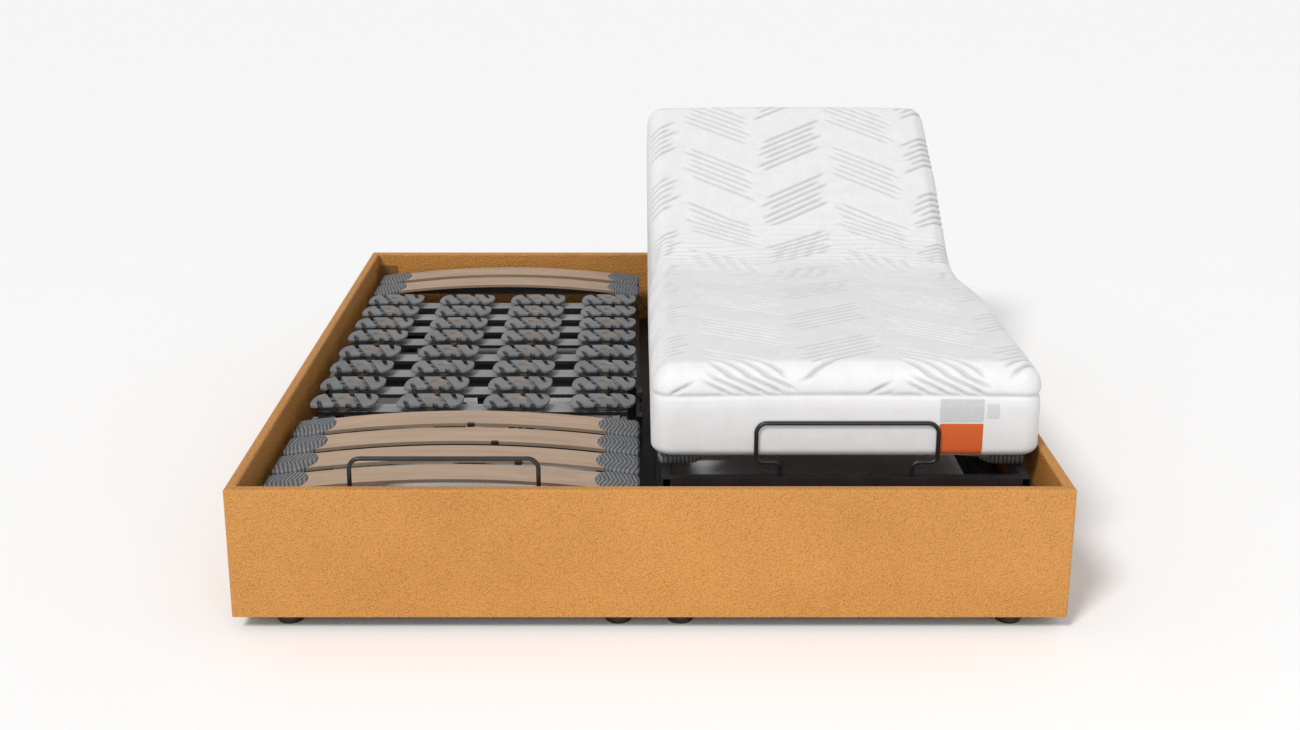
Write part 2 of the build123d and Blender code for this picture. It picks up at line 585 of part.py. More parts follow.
def crowned_outline(half_length, crown, top_spare, bottom_spare):
    """Draw a crowned strip, larger by the spare above and below."""
    end_drop = crown * (half_length / SLAT_HALF_LENGTH) ** 2
    top = SLAT_END_TOP + crown + top_spare
    bottom = SLAT_END_TOP + crown - SLAT_THICKNESS - bottom_spare
    with BuildLine() as strip:
        ThreePointArc((-half_length, top - end_drop), (0, top), (half_length, top - end_drop))
        Line((half_length, top - end_drop), (half_length, bottom - end_drop))
        ThreePointArc((half_length, bottom - end_drop), (0, bottom), (-half_length, bottom - end_drop))
        Line((-half_length, bottom - end_drop), (-half_length, top - end_drop))
    make_face(strip.edges())


def crowned_strip(y, width, half_length, crown, top_spare=0, bottom_spare=0, mode=Mode.ADD):
    """Add, cut or keep a crowned strip across the bed."""
    with BuildSketch(Plane.XZ.offset(-y)) as outline:
        crowned_outline(half_length, crown, top_spare, bottom_spare)
    extrude(outline.sketch, amount=width / 2, both=True, mode=mode)


for section, slat_ys in SLAT_ROWS.items():
    for side, crown in CROWNS.items():
        with BuildPart() as slats:
            for slat_y in slat_ys:
                crowned_strip(slat_y, SLAT_WIDTH, SLAT_HALF_LENGTH, crown)
        keep(f"{section}_slats", section, slats, (side,))

        with BuildPart() as caps:
            with BuildSketch(Plane.XY.offset(RAIL_TOP)) as cap_plan:
                for cap_side in (-1, 1):
                    with Locations(*((cap_side * (CAP_NOSE_X + CAP_BODY_LENGTH / 2), y) for y in slat_ys)):
                        Rectangle(CAP_BODY_LENGTH, CAP_WIDTH)
                outer_corners = cap_plan.vertices().filter_by(lambda v: abs(v.X) > CAP_NOSE_X + CAP_BODY_LENGTH / 2)
                fillet(outer_corners, CAP_CORNER)
                with Locations(*((cap_side * CAP_NOSE_X, y) for y in slat_ys for cap_side in (-1, 1))):
                    Ellipse(CAP_NOSE, CAP_WIDTH / 2)
            extrude(amount=SLAT_END_TOP + crown + CAP_TOP_WALL - RAIL_TOP)
            row_middle = (slat_ys[0] + slat_ys[-1]) / 2
            row_span = slat_ys[-1] - slat_ys[0] + 2 * CAP_WIDTH
            below = SLAT_END_TOP + crown - SLAT_THICKNESS - RAIL_TOP
            crowned_strip(row_middle, row_span, CAP_OUTER_X, crown, CAP_TOP_WALL, below, mode=Mode.INTERSECT)
            for slat_y in slat_ys:
                pocket = (SLAT_WIDTH + 2 * FIT_CLEARANCE, SLAT_HALF_LENGTH + FIT_CLEARANCE)
                crowned_strip(slat_y, *pocket, crown, FIT_CLEARANCE, FIT_CLEARANCE, mode=Mode.SUBTRACT)
        keep(f"{section}_caps", section, caps, (side,))

# Retainer bar: one bent rod that stops the mattress at the foot end
BAR_HALF = BAR_WIDTH / 2
BAR_END_Z = RAIL_TOP - BAR_SOCKET_DEPTH
BAR_HALF_ROUTE = (
    (BAR_LEG_X, BAR_END_Z),
    (BAR_LEG_X, BAR_JOG_HEIGHT),
    (BAR_HALF, BAR_JOG_HEIGHT),
    (BAR_HALF, BAR_TOP),
)
BAR_ROUTE = [(-x, z) for x, z in BAR_HALF_ROUTE] + [(x, z) for x, z in reversed(BAR_HALF_ROUTE)]
BAR_BENDS = [BAR_JOG_BEND, BAR_JOG_BEND, BAR_TOP_BEND, BAR_TOP_BEND, BAR_JOG_BEND, BAR_JOG_BEND]
with BuildPart() as retainer_bar:
    with BuildLine() as bar_route:
        FilletPolyline(*((x, BAR_Y, z) for x, z in BAR_ROUTE), radius=BAR_BENDS)
    with BuildSketch(Plane((-BAR_LEG_X, BAR_Y, BAR_END_Z))):
        Circle(BAR_DIAMETER / 2)
    sweep(path=bar_route.wires()[0])
keep("retainer_bar", "calf", retainer_bar)

# Drives: a housing under each cross tube, a motor beside it, a spindle and a ram inside it.
# The back ram pushes to the head end, the leg ram to the foot end
NOSE_GAP = LEVER_NOSE_RADIUS + RAM_CONTACT_GAP
BACK_PAD_Y = BACK_HINGE_Y - BACK_STROKE / 2 - NOSE_GAP
LEG_PAD_Y = THIGH_HINGE_Y + LEG_STROKE / 2 + NOSE_GAP
DRIVES = {
    "back_ram": (-DRIVE_X, BACK_PAD_Y, 1, BACK_STROKE),
    "leg_ram": (DRIVE_X, LEG_PAD_Y, -1, LEG_STROKE),
}


def drive_span(pad_y, push, start, end):
    """Give a Y span inside a drive, measured backwards from the housing's mouth."""
    mouth = pad_y - push * (RAM_PAD_THICKNESS + RAM_SHOWING)
    return sorted((mouth - push * start, mouth - push * end))


def bore_depth(stroke):
    """Give the depth of the bore that the ram slides in."""
    return stroke + RAM_KEPT_IN + RAM_SHOWING


with BuildPart() as drive_housings:
    for drive_x, pad_y, push, stroke in DRIVES.values():
        half = DRIVE_WIDTH / 2
        block((drive_x - half, drive_x + half), drive_span(pad_y, push, 0, DRIVE_LENGTH), DRIVE_Z)
        bore_y = drive_span(pad_y, push, 0, bore_depth(stroke))
        rod_along_y(drive_x, bore_y, RAM_Z, RAM_DIAMETER + 2 * RAM_CLEARANCE, mode=Mode.SUBTRACT)
keep("drive_housings", "carriage", drive_housings)

with BuildPart() as drive_motors:
    for drive_x, pad_y, push, stroke in DRIVES.values():
        inward = -1 if drive_x > 0 else 1
        motor_start = drive_x + inward * DRIVE_WIDTH / 2
        motor_x = sorted((motor_start, motor_start + inward * MOTOR_LENGTH))
        motor_y = sum(drive_span(pad_y, push, DRIVE_LENGTH - MOTOR_DIAMETER, DRIVE_LENGTH)) / 2
        rod_along_x(motor_x, motor_y, RAM_Z, MOTOR_DIAMETER)
        spindle_y = drive_span(pad_y, push, RAM_SHOWING, bore_depth(stroke))
        rod_along_y(drive_x, spindle_y, RAM_Z, SPINDLE_DIAMETER)
keep("drive_motors", "carriage", drive_motors)

for ram_name, (drive_x, pad_y, push, stroke) in DRIVES.items():
    with BuildPart() as ram:
        rod_y = drive_span(pad_y, push, -RAM_SHOWING, stroke + RAM_KEPT_IN)
        rod_along_y(drive_x, rod_y, RAM_Z, RAM_DIAMETER)
        rod_along_y(drive_x, drive_span(pad_y, push, 0, stroke + RAM_KEPT_IN), RAM_Z, RAM_BORE, Mode.SUBTRACT)
        half = RAM_PAD_SIZE / 2
        pad_span = drive_span(pad_y, push, -RAM_SHOWING, -RAM_SHOWING - RAM_PAD_THICKNESS)
        block((drive_x - half, drive_x + half), pad_span, (RAM_Z - half, RAM_Z + half))
    keep(ram_name, ram_name, ram)


def about_hinge(y, z, angle):
    """Turn about an axis across the bed. A positive angle lifts the head end."""
    return Location((0, y, z)) * Location((0, 0, 0), (angle, 0, 0)) * Location((0, -y, -z))


def unit_poses(back_lift, thigh_lift):
    """Give each body's place when the back and the thigh are lifted by these angles."""
    carriage = Location((0, GLIDE_RATE * radians(back_lift), 0))
    thigh = carriage * about_hinge(THIGH_HINGE_Y, HINGE_Z, -thigh_lift)
    return {
        "root": Location(),
        "carriage": carriage,
        "back": carriage * about_hinge(BACK_HINGE_Y, HINGE_Z, back_lift),
        "thigh": thigh,
        "calf": thigh * about_hinge(KNEE_Y, HINGE_Z, thigh_lift),
        "calf_links": carriage * about_hinge(THIGH_HINGE_Y, LINK_Z, -thigh_lift),
        "back_ram": carriage * Location((0, BACK_RAM_RATE * radians(back_lift), 0)),
        "leg_ram": carriage * Location((0, -LEG_RAM_RATE * radians(thigh_lift), 0)),
    }


SIDES = {
    "left": (-UNIT_X, unit_poses(0, 0)),
    "right": (UNIT_X, unit_poses(BACK_REST, THIGH_REST)),
}


def place(node, body, part, side):
    """Write one part at its side of the bed and in that side's pose."""
    side_x, poses = SIDES[side]
    placed = part.moved(Location((side_x, 0, 0)) * poses[body])
    placed.label = node
    export_step(placed, f"parts/{node}.step")


for node, body, part, sides in unit_parts:
    for side in sides:
        place(f"{side}_{node}", body, part, side)

# Mattress on the right unit. Its middle bends in two arcs that meet over the seat
SUPPORT_LIFT = MATTRESS_BOTTOM - HINGE_Z
HIP_TURN = tan(radians(BACK_REST / 2))
LAP_TURN = tan(radians(THIGH_REST / 2))
SEAT_CUT_Y = BACK_HINGE_Y - SUPPORT_LIFT * HIP_TURN - MATTRESS_BEND_REACH
HIP_RADIUS = MATTRESS_BEND_REACH / HIP_TURN
BACK_START_Y = BACK_HINGE_Y + SUPPORT_LIFT * HIP_TURN + MATTRESS_BEND_REACH
LAP_REACH = SEAT_CUT_Y - THIGH_HINGE_Y - SUPPORT_LIFT * LAP_TURN
LAP_RADIUS = LAP_REACH / LAP_TURN
THIGH_END_Y = THIGH_HINGE_Y - SUPPORT_LIFT * LAP_TURN - LAP_REACH
MATTRESS_FOOT_Y = BAR_Y + BAR_DIAMETER / 2 + MATTRESS_BAR_GAP
MATTRESS_HEAD_Y = BACK_END_Y + MATTRESS_HEAD_OVERHANG


def mattress_outline(y):
    """Draw the mattress's cross section: flat below, crowned on top, drawn in at the sides."""
    side = MATTRESS_HALF_WIDTH
    top = MATTRESS_BOTTOM + MATTRESS_THICKNESS
    middle = (MATTRESS_BOTTOM + top) / 2
    with BuildSketch(Plane.XZ.offset(-y)) as outline:
        with BuildLine():
            Line((-side, MATTRESS_BOTTOM), (side, MATTRESS_BOTTOM))
            ThreePointArc((side, MATTRESS_BOTTOM), (side - MATTRESS_SIDE_DRAW, middle), (side, top))
            ThreePointArc((side, top), (0, top + MATTRESS_CROWN), (-side, top))
            ThreePointArc((-side, top), (-side + MATTRESS_SIDE_DRAW, middle), (-side, MATTRESS_BOTTOM))
        make_face()
        fillet(outline.vertices().group_by(Axis.Y)[-1], MATTRESS_TOP_RADIUS)
        fillet(outline.vertices().group_by(Axis.Y)[0], MATTRESS_BOTTOM_RADIUS)
    return outline.sketch


with BuildPart() as mattress_calf:
    calf_stretch = MATTRESS_FOOT_Y - KNEE_Y + SOFT_GAP / 2
    extrude(mattress_outline(MATTRESS_FOOT_Y), amount=calf_stretch)
    fillet(mattress_calf.faces().sort_by(Axis.Y)[0].edges(), MATTRESS_END_RADIUS)
place("mattress_calf", "calf", mattress_calf.part, "right")

with BuildPart() as mattress_thigh:
    knee_end = KNEE_Y + SOFT_GAP / 2
    extrude(mattress_outline(knee_end), amount=knee_end - THIGH_END_Y + SOFT_GAP)
place("mattress_thigh", "thigh", mattress_thigh.part, "right")

with BuildPart() as mattress_middle:
    hip_axis = Axis((0, SEAT_CUT_Y, MATTRESS_BOTTOM + HIP_RADIUS), (1, 0, 0))
    revolve(mattress_outline(SEAT_CUT_Y), axis=hip_axis, revolution_arc=BACK_REST)
    lap_axis = Axis((0, SEAT_CUT_Y, MATTRESS_BOTTOM + LAP_RADIUS), (-1, 0, 0))
    revolve(mattress_outline(SEAT_CUT_Y), axis=lap_axis, revolution_arc=THIGH_REST)
place("mattress_middle", "carriage", mattress_middle.part, "right")

with BuildPart() as mattress_back:
    back_start = BACK_START_Y + SOFT_GAP
    extrude(mattress_outline(back_start), amount=back_start - MATTRESS_HEAD_Y)
    fillet(mattress_back.faces().sort_by(Axis.Y)[-1].edges(), MATTRESS_END_RADIUS)
place("mattress_back", "back", mattress_back.part, "right")
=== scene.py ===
# %% [markdown]
# # Dressing an adjustable double bed base
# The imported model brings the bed's real pieces at their real size: a covered surround, two electric
# slatted units and a mattress on the right one. This lesson gives them their finishes, and replaces the
# pieces whose soft or moulded shape a plain solid can't show: the mattress, the spring elements and the
# rubber slat caps. Everything is in metres, in the model's own frame.

# %% Load the frame
import json
from math import atan2, cos, degrees, exp, floor, pi, radians, sin, tan

import bmesh
import bpy
from mathutils import Matrix, Vector
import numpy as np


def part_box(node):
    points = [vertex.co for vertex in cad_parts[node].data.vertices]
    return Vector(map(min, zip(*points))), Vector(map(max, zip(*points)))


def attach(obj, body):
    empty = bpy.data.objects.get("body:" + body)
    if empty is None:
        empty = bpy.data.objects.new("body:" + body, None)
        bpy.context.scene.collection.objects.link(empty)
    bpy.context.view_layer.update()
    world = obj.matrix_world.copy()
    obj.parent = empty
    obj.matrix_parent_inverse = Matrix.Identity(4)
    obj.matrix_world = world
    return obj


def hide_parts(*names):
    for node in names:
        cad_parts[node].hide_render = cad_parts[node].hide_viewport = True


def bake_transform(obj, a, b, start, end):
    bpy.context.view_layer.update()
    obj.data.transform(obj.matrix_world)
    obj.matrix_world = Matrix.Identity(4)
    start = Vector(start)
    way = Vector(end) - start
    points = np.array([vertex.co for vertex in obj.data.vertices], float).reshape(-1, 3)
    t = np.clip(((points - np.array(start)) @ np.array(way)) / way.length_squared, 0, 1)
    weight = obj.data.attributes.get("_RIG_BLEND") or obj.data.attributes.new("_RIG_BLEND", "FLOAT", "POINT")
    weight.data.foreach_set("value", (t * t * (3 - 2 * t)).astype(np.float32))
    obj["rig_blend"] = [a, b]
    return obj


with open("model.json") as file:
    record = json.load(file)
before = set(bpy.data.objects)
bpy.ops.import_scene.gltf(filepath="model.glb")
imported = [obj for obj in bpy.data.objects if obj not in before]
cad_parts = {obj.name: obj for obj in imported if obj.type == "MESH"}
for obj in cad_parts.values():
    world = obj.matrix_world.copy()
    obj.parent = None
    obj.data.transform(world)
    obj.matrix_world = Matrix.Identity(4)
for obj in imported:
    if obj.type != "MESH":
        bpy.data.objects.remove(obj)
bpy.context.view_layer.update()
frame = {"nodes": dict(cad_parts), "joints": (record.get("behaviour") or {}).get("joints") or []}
nodes = frame["nodes"]
joints = {joint["name"]: joint for joint in frame["joints"]}
SIDES = ("left", "right")

# %% [markdown]
# ## Camera and light
# The bed is seen from the foot end, at the eye height of someone standing, with a normal lens. A small
# shift of the lens sets the framing. A broad light from the camera's side, like a large window, shows the
# quilting and the grain. A square lamp lights the foot end, and a white world fills the shadows.

# %% Camera and lamps
CAMERA_PLACE = (-0.028, -4.249, 1.708)
CAMERA_TILT_DOWN = radians(15.71)
CAMERA_LENS_MM = 44.21
CAMERA_SHIFT = (0.01, -0.0615)
SENSOR_WIDTH_MM = 36.0
WINDOW_PLACE = (-2.0, -2.9, 3.6)
WINDOW_POWER = 1.9
WINDOW_ANGLE = radians(14)
FOOT_LAMP_PLACE = (0.8, -4.7, 1.5)
FOOT_LAMP_AIM = (0.1, -0.9, 0.3)
FOOT_LAMP_POWER = 27
FOOT_LAMP_SIZE = 2.2
WORLD_STRENGTH = 0.54

camera_data = bpy.data.cameras.new("studio_camera")
camera_data.lens = CAMERA_LENS_MM
camera_data.sensor_width = SENSOR_WIDTH_MM
camera_data.shift_x, camera_data.shift_y = CAMERA_SHIFT
camera = bpy.data.objects.new("studio_camera", camera_data)
camera.location = CAMERA_PLACE
camera.rotation_euler = (pi / 2 - CAMERA_TILT_DOWN, 0, 0)
bpy.context.scene.collection.objects.link(camera)
bpy.context.scene.camera = camera


def add_lamp(name, kind, place, aim, power, **settings):
    """Hang a lamp that points at a spot."""
    data = bpy.data.lights.new(name, kind)
    data.energy = power
    for key, value in settings.items():
        setattr(data, key, value)
    lamp = bpy.data.objects.new(name, data)
    lamp.location = place
    lamp.rotation_euler = (Vector(aim) - Vector(place)).to_track_quat("-Z", "Y").to_euler()
    bpy.context.scene.collection.objects.link(lamp)


add_lamp("window_light", "SUN", WINDOW_PLACE, (0, 0, 0), WINDOW_POWER, angle=WINDOW_ANGLE)
add_lamp(
    "foot_lamp", "AREA", FOOT_LAMP_PLACE, FOOT_LAMP_AIM, FOOT_LAMP_POWER,
    shape="SQUARE", size=FOOT_LAMP_SIZE,
)

world = bpy.data.worlds.new("studio_world")
world.use_nodes = True
background = world.node_tree.nodes["Background"]
background.inputs["Color"].default_value = (1.0, 1.0, 1.0, 1)
background.inputs["Strength"].default_value = WORLD_STRENGTH
bpy.context.scene.world = world
bpy.context.scene.view_settings.view_transform = "Standard"
print("camera and", len(bpy.data.lights), "lamps placed")

# %% [markdown]
# ## A few helpers for the finishes
# Every finish is a small node tree that reads Object coordinates. A node object sits at the origin, so
# these are metres in the bed's own frame, and a grain of 6 mm is simply a texture scale of about 160.

# %% Helpers for the finishes
LEVEL_FACING = 0.6


def start_finish(name):
    """Make a material and hand back its tree, its shader and its object coordinates."""
    material = bpy.data.materials.new(name)
    material.use_nodes = True
    tree = material.node_tree
    shader = tree.nodes["Principled BSDF"]
    coordinates = tree.nodes.new("ShaderNodeTexCoord").outputs["Object"]
    return material, tree, shader, coordinates


def add_node(tree, kind, inputs=None, **settings):
    """Add a node, give its settings, and fill or link its inputs."""
    made = tree.nodes.new(kind)
    for key, value in settings.items():
        setattr(made, key, value)
    for key, value in (inputs or {}).items():
        if isinstance(value, bpy.types.NodeSocket):
            tree.links.new(value, made.inputs[key])
        else:
            made.inputs[key].default_value = value
    return made


def noise(tree, vector, scale, detail=3.0, roughness=0.5, distortion=0.0):
    """Give the value of a noise texture."""
    inputs = {"Vector": vector, "Scale": scale, "Detail": detail}
    inputs.update({"Roughness": roughness, "Distortion": distortion})
    return add_node(tree, "ShaderNodeTexNoise", inputs).outputs["Fac"]


def stretched(tree, vector, scale):
    """Stretch the coordinates."""
    inputs = {"Vector": vector, "Scale": scale}
    return add_node(tree, "ShaderNodeMapping", inputs).outputs["Vector"]


def shades(tree, value, stops):
    """Turn a value into colours between stops of (position, colour)."""
    ramp = add_node(tree, "ShaderNodeValToRGB", {"Fac": value})
    elements = ramp.color_ramp.elements
    while len(elements) < len(stops):
        elements.new(0.5)
    for element, (position, colour) in zip(elements, stops):
        element.position = position
        element.color = (*colour, 1)
    return ramp.outputs["Color"]


def span(tree, value, low, high):
    """Map a value from 0 to 1 to a range."""
    inputs = {"Value": value, "To Min": low, "To Max": high}
    return add_node(tree, "ShaderNodeMapRange", inputs).outputs["Result"]


def math(tree, operation, first, second=0.0):
    """Work on one or two values."""
    return add_node(tree, "ShaderNodeMath", {0: first, 1: second}, operation=operation).outputs[0]


def relief(tree, shader, height, depth, strength=1.0, base=None):
    """Give the shader a bump of that depth in metres, over another bump if there is one."""
    inputs = {"Height": height, "Distance": depth, "Strength": strength}
    if base is not None:
        inputs["Normal"] = base
    normal = add_node(tree, "ShaderNodeBump", inputs).outputs["Normal"]
    tree.links.new(normal, shader.inputs["Normal"])
    return normal


def darkened(tree, colour, amount):
    """Darken a colour by an amount from 0 to 1."""
    kept = math(tree, "SUBTRACT", 1.0, amount)
    return add_node(tree, "ShaderNodeHueSaturation", {"Color": colour, "Value": kept}).outputs["Color"]


def paint_side_shade(tree, colour, share):
    """Keep a colour where surfaces face up or down, and paint shade on the sides as a share of it."""
    facing = add_node(tree, "ShaderNodeTexCoord").outputs["Normal"]
    height = add_node(tree, "ShaderNodeSeparateXYZ", {0: facing}).outputs["Z"]
    level = math(tree, "GREATER_THAN", math(tree, "ABSOLUTE", height), LEVEL_FACING)
    amount = span(tree, level, share, 1.0)
    return add_node(tree, "ShaderNodeVectorMath", {0: colour, "Scale": amount}, operation="SCALE").outputs[0]


def dress(node_names, material):
    """Put a finish on CAD nodes."""
    for name in node_names:
        mesh = nodes[name].data
        mesh.materials.clear()
        mesh.materials.append(material)


def of_both(*names):
    """Name the same nodes of the left and the right unit."""
    return [f"{side}_{name}" for side in SIDES for name in names]


print("helpers ready")

# %% [markdown]
# ## Floor
# The floor isn't part of the bed. A little noise in its roughness keeps it from looking like a screen.

# %% Floor
FLOOR_SIZE = 70.0

floor_material, tree, shader, coordinates = start_finish("pale_floor")
shader.inputs["Base Color"].default_value = (0.97, 0.97, 0.97, 1)
tree.links.new(span(tree, noise(tree, coordinates, 3.0), 0.75, 0.9), shader.inputs["Roughness"])
floor_mesh = bmesh.new()
bmesh.ops.create_grid(floor_mesh, x_segments=4, y_segments=4, size=FLOOR_SIZE / 2)
floor_data = bpy.data.meshes.new("studio_floor")
floor_mesh.to_mesh(floor_data)
floor_mesh.free()
floor_data.materials.append(floor_material)
studio_floor = bpy.data.objects.new("studio_floor", floor_data)
bpy.context.scene.collection.objects.link(studio_floor)
print("floor laid")

# %% [markdown]
# ## Leather of the surround
# The panels wear a coarse pebbled leather in tan. Its grain could be a picture, but Voronoi cells give
# the same pebbles at any distance: a smooth Voronoi makes the cushions of the grain, a noise of the same
# size mottles them, and a slow noise makes the blotches of a dyed hide. As painted highlight and shade,
# the tops of the pebbles are a little lighter and the creases between them a little darker.

# %% Leather
LEATHER_TONES = ((0.25, (0.45, 0.188, 0.036)), (0.5, (0.56, 0.245, 0.050)), (0.8, (0.66, 0.315, 0.076)))
LEATHER_PEBBLE = 230.0
LEATHER_MOTTLING = 230.0
HIDE_WARP = 0.006
HIDE_WAVE_DEPTH = 0.004
GRAIN_DEPTH = 0.0026

leather, tree, shader, coordinates = start_finish("tan_leather")
warped = add_node(tree, "ShaderNodeTexNoise", {"Vector": coordinates, "Scale": 30.0}).outputs["Color"]
bent = add_node(tree, "ShaderNodeVectorMath", {0: warped, "Scale": HIDE_WARP}, operation="SCALE").outputs[0]
hide = add_node(tree, "ShaderNodeVectorMath", {0: coordinates, 1: bent}, operation="ADD").outputs[0]
pebble_inputs = {"Vector": hide, "Scale": LEATHER_PEBBLE, "Smoothness": 0.35}
pebbles = add_node(tree, "ShaderNodeTexVoronoi", pebble_inputs, feature="SMOOTH_F1").outputs["Distance"]
cushions = math(tree, "SUBTRACT", 1.0, pebbles)
blotches = noise(tree, coordinates, 3.2, 6.0, 0.62, 0.4)
mottling = noise(tree, hide, LEATHER_MOTTLING, 4.0, 0.6)
# Painted highlight and shade: the pebble tops are lighter and the creases darker.
depth = math(tree, "MULTIPLY", cushions, 0.52)
shade = math(tree, "ADD", math(tree, "MULTIPLY", blotches, 0.42), depth)
shade = math(tree, "ADD", shade, math(tree, "MULTIPLY", math(tree, "SUBTRACT", mottling, 0.5), 0.70))
tree.links.new(shades(tree, shade, LEATHER_TONES), shader.inputs["Base Color"])
tree.links.new(span(tree, cushions, 0.58, 0.34), shader.inputs["Roughness"])
shader.inputs["Specular IOR Level"].default_value = 0.42
soft_relief = relief(tree, shader, noise(tree, coordinates, 9.0, 3.0), HIDE_WAVE_DEPTH, 0.35)
relief(tree, shader, cushions, GRAIN_DEPTH, 0.9, soft_relief)
dress(["foot_cover", "head_cover", "left_cover", "right_cover"], leather)
print("four covers in leather")

# %% [markdown]
# ## Wood, steel and plastics of the frame
# The slats are steamed beech plies: long fine grain across the bed and slow bands of grey and brown. The
# frames are black powder coat, which has a very fine orange peel. The bars across the sections are satin
# aluminium with lines along their length. Rams are bare steel, links and screws are zinc plated, and the
# drives are moulded in dark plastic. The sides of the woods get painted shade, and the sides of the bars
# are painted nearly black as shade.

# %% Beech
BEECH_TONES = ((0.22, (0.28, 0.182, 0.118)), (0.5, (0.43, 0.300, 0.208)), (0.82, (0.55, 0.405, 0.295)))
BOARD_TONES = ((0.2, (0.30, 0.21, 0.12)), (0.5, (0.42, 0.31, 0.19)), (0.8, (0.52, 0.40, 0.27)))
DARK_TIMBER_TONES = (
    (0.2, (0.010, 0.009, 0.008)), (0.55, (0.019, 0.016, 0.014)), (0.85, (0.034, 0.029, 0.025)),
)
WOOD_SIDE_SHADE_SHARE = 0.62


def make_beech(name, tones, along):
    """Make a wood whose grain runs along one axis, 0 for across the bed and 1 for along it."""
    wood, tree, shader, coordinates = start_finish(name)
    squeeze = (3.0, 90.0, 90.0) if along == 0 else (90.0, 3.0, 90.0)
    slow = (1.6, 16.0, 22.0) if along == 0 else (16.0, 1.6, 22.0)
    fibres = noise(tree, stretched(tree, coordinates, squeeze), 4.0, 6.0, 0.65)
    bands = noise(tree, stretched(tree, coordinates, slow), 2.2, 4.0, 0.55, 0.6)
    mixed = math(tree, "ADD", math(tree, "MULTIPLY", fibres, 0.45), math(tree, "MULTIPLY", bands, 0.55))
    # Painted shade: sides that don't face up or down are darkened to a share of the wood's colour.
    colour = paint_side_shade(tree, shades(tree, mixed, tones), WOOD_SIDE_SHADE_SHARE)
    tree.links.new(colour, shader.inputs["Base Color"])
    tree.links.new(span(tree, fibres, 0.42, 0.62), shader.inputs["Roughness"])
    relief(tree, shader, fibres, 0.0004, 0.5)
    return wood


beech = make_beech("steamed_beech", BEECH_TONES, 0)
dark_timber = make_beech("stained_timber", DARK_TIMBER_TONES, 1)
board = make_beech("chip_board", BOARD_TONES, 0)
dress(of_both("back_slats", "calf_slats"), beech)
dress(["cross_rails", "centre_beam", "side_ledgers"], dark_timber)
dress(["panel_boards"], board)
print("slats, rails and boards in wood")

# %% Metals and plastics


def make_coat(name, tones, roughness, peel_scale, peel_depth, metallic=0.0, stretch=(1, 1, 1), sides=None):
    """Make a coat or a metal: two tones in a slow noise, a fine skin, and any painted side shade."""
    coat, tree, shader, coordinates = start_finish(name)
    drawn = stretched(tree, coordinates, stretch)
    worn = noise(tree, drawn, 14.0, 5.0, 0.6)
    skin = noise(tree, drawn, peel_scale, 3.0, 0.55)
    colour = shades(tree, worn, ((0.3, tones[0]), (0.7, tones[1])))
    if sides is not None:
        colour = paint_side_shade(tree, colour, sides)
    tree.links.new(colour, shader.inputs["Base Color"])
    tree.links.new(span(tree, worn, *roughness), shader.inputs["Roughness"])
    shader.inputs["Metallic"].default_value = metallic
    relief(tree, shader, skin, peel_depth, 0.6)
    return coat


black_coat = make_coat(
    "black_powder_coat", ((0.011, 0.011, 0.012), (0.021, 0.021, 0.022)), (0.38, 0.55), 700, 0.0002,
)
bar_coat = make_coat(
    "satin_black_rod", ((0.008, 0.008, 0.009), (0.016, 0.016, 0.017)), (0.28, 0.42), 500, 0.0001,
)
# Painted shade: the sides of the bars are darkened to 6% of their colour.
aluminium = make_coat(
    "satin_aluminium", ((0.24, 0.24, 0.245), (0.36, 0.36, 0.36)), (0.34, 0.52), 260, 0.0002,
    metallic=0.3, stretch=(0.05, 1, 1), sides=0.06,
)
bare_steel = make_coat(
    "bare_steel", ((0.45, 0.45, 0.46), (0.62, 0.62, 0.62)), (0.2, 0.38), 400, 0.0001,
    metallic=1.0, stretch=(1, 0.1, 1),
)
dark_plastic = make_coat(
    "moulded_dark_plastic", ((0.020, 0.021, 0.023), (0.034, 0.035, 0.037)), (0.5, 0.65), 900, 0.0003,
)
foot_plastic = make_coat(
    "brown_black_foot", ((0.014, 0.010, 0.008), (0.030, 0.022, 0.017)), (0.36, 0.55), 500, 0.0003,
)
shoe_plastic = make_coat(
    "grey_glide_plastic", ((0.05, 0.05, 0.052), (0.08, 0.08, 0.082)), (0.35, 0.5), 300, 0.0001,
)
bracket_coat = make_coat(
    "brown_bracket_coat", ((0.20, 0.095, 0.026), (0.27, 0.13, 0.036)), (0.45, 0.6), 500, 0.0002,
)
zinc = make_coat(
    "zinc_plate", ((0.42, 0.43, 0.44), (0.58, 0.58, 0.57)), (0.3, 0.5), 300, 0.0002, metallic=0.9,
)

dress(of_both("base_frame", "seat_frame", "back_frame", "thigh_frame", "calf_frame"), black_coat)
dress(of_both("calf_links"), zinc)
dress(of_both("retainer_bar"), bar_coat)
dress(of_both("seat_crossbars", "back_crossbars", "thigh_crossbars"), aluminium)
dress(of_both("back_ram", "leg_ram"), bare_steel)
dress(of_both("drive_housings", "drive_motors"), dark_plastic)
dress(of_both("glide_shoes"), shoe_plastic)
dress(["feet"], foot_plastic)
dress(["corner_brackets"], bracket_coat)
dress(["foot_screws"], zinc)
print("dressed the frame in", len(bpy.data.materials), "finishes")

# %% [markdown]
# ## Mattress: the line that it lies on
# A mattress is one long cushion, and on a raised unit it bends at the knee, the lap and the hip. It is
# easiest to sew it flat and bend it afterwards. So this step works out the line that its underside
# follows: straight runs over the calf, thigh, seat and back sections, joined by arcs. The hinges and the
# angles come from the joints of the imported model, so the mattress fits the unit that carries it.

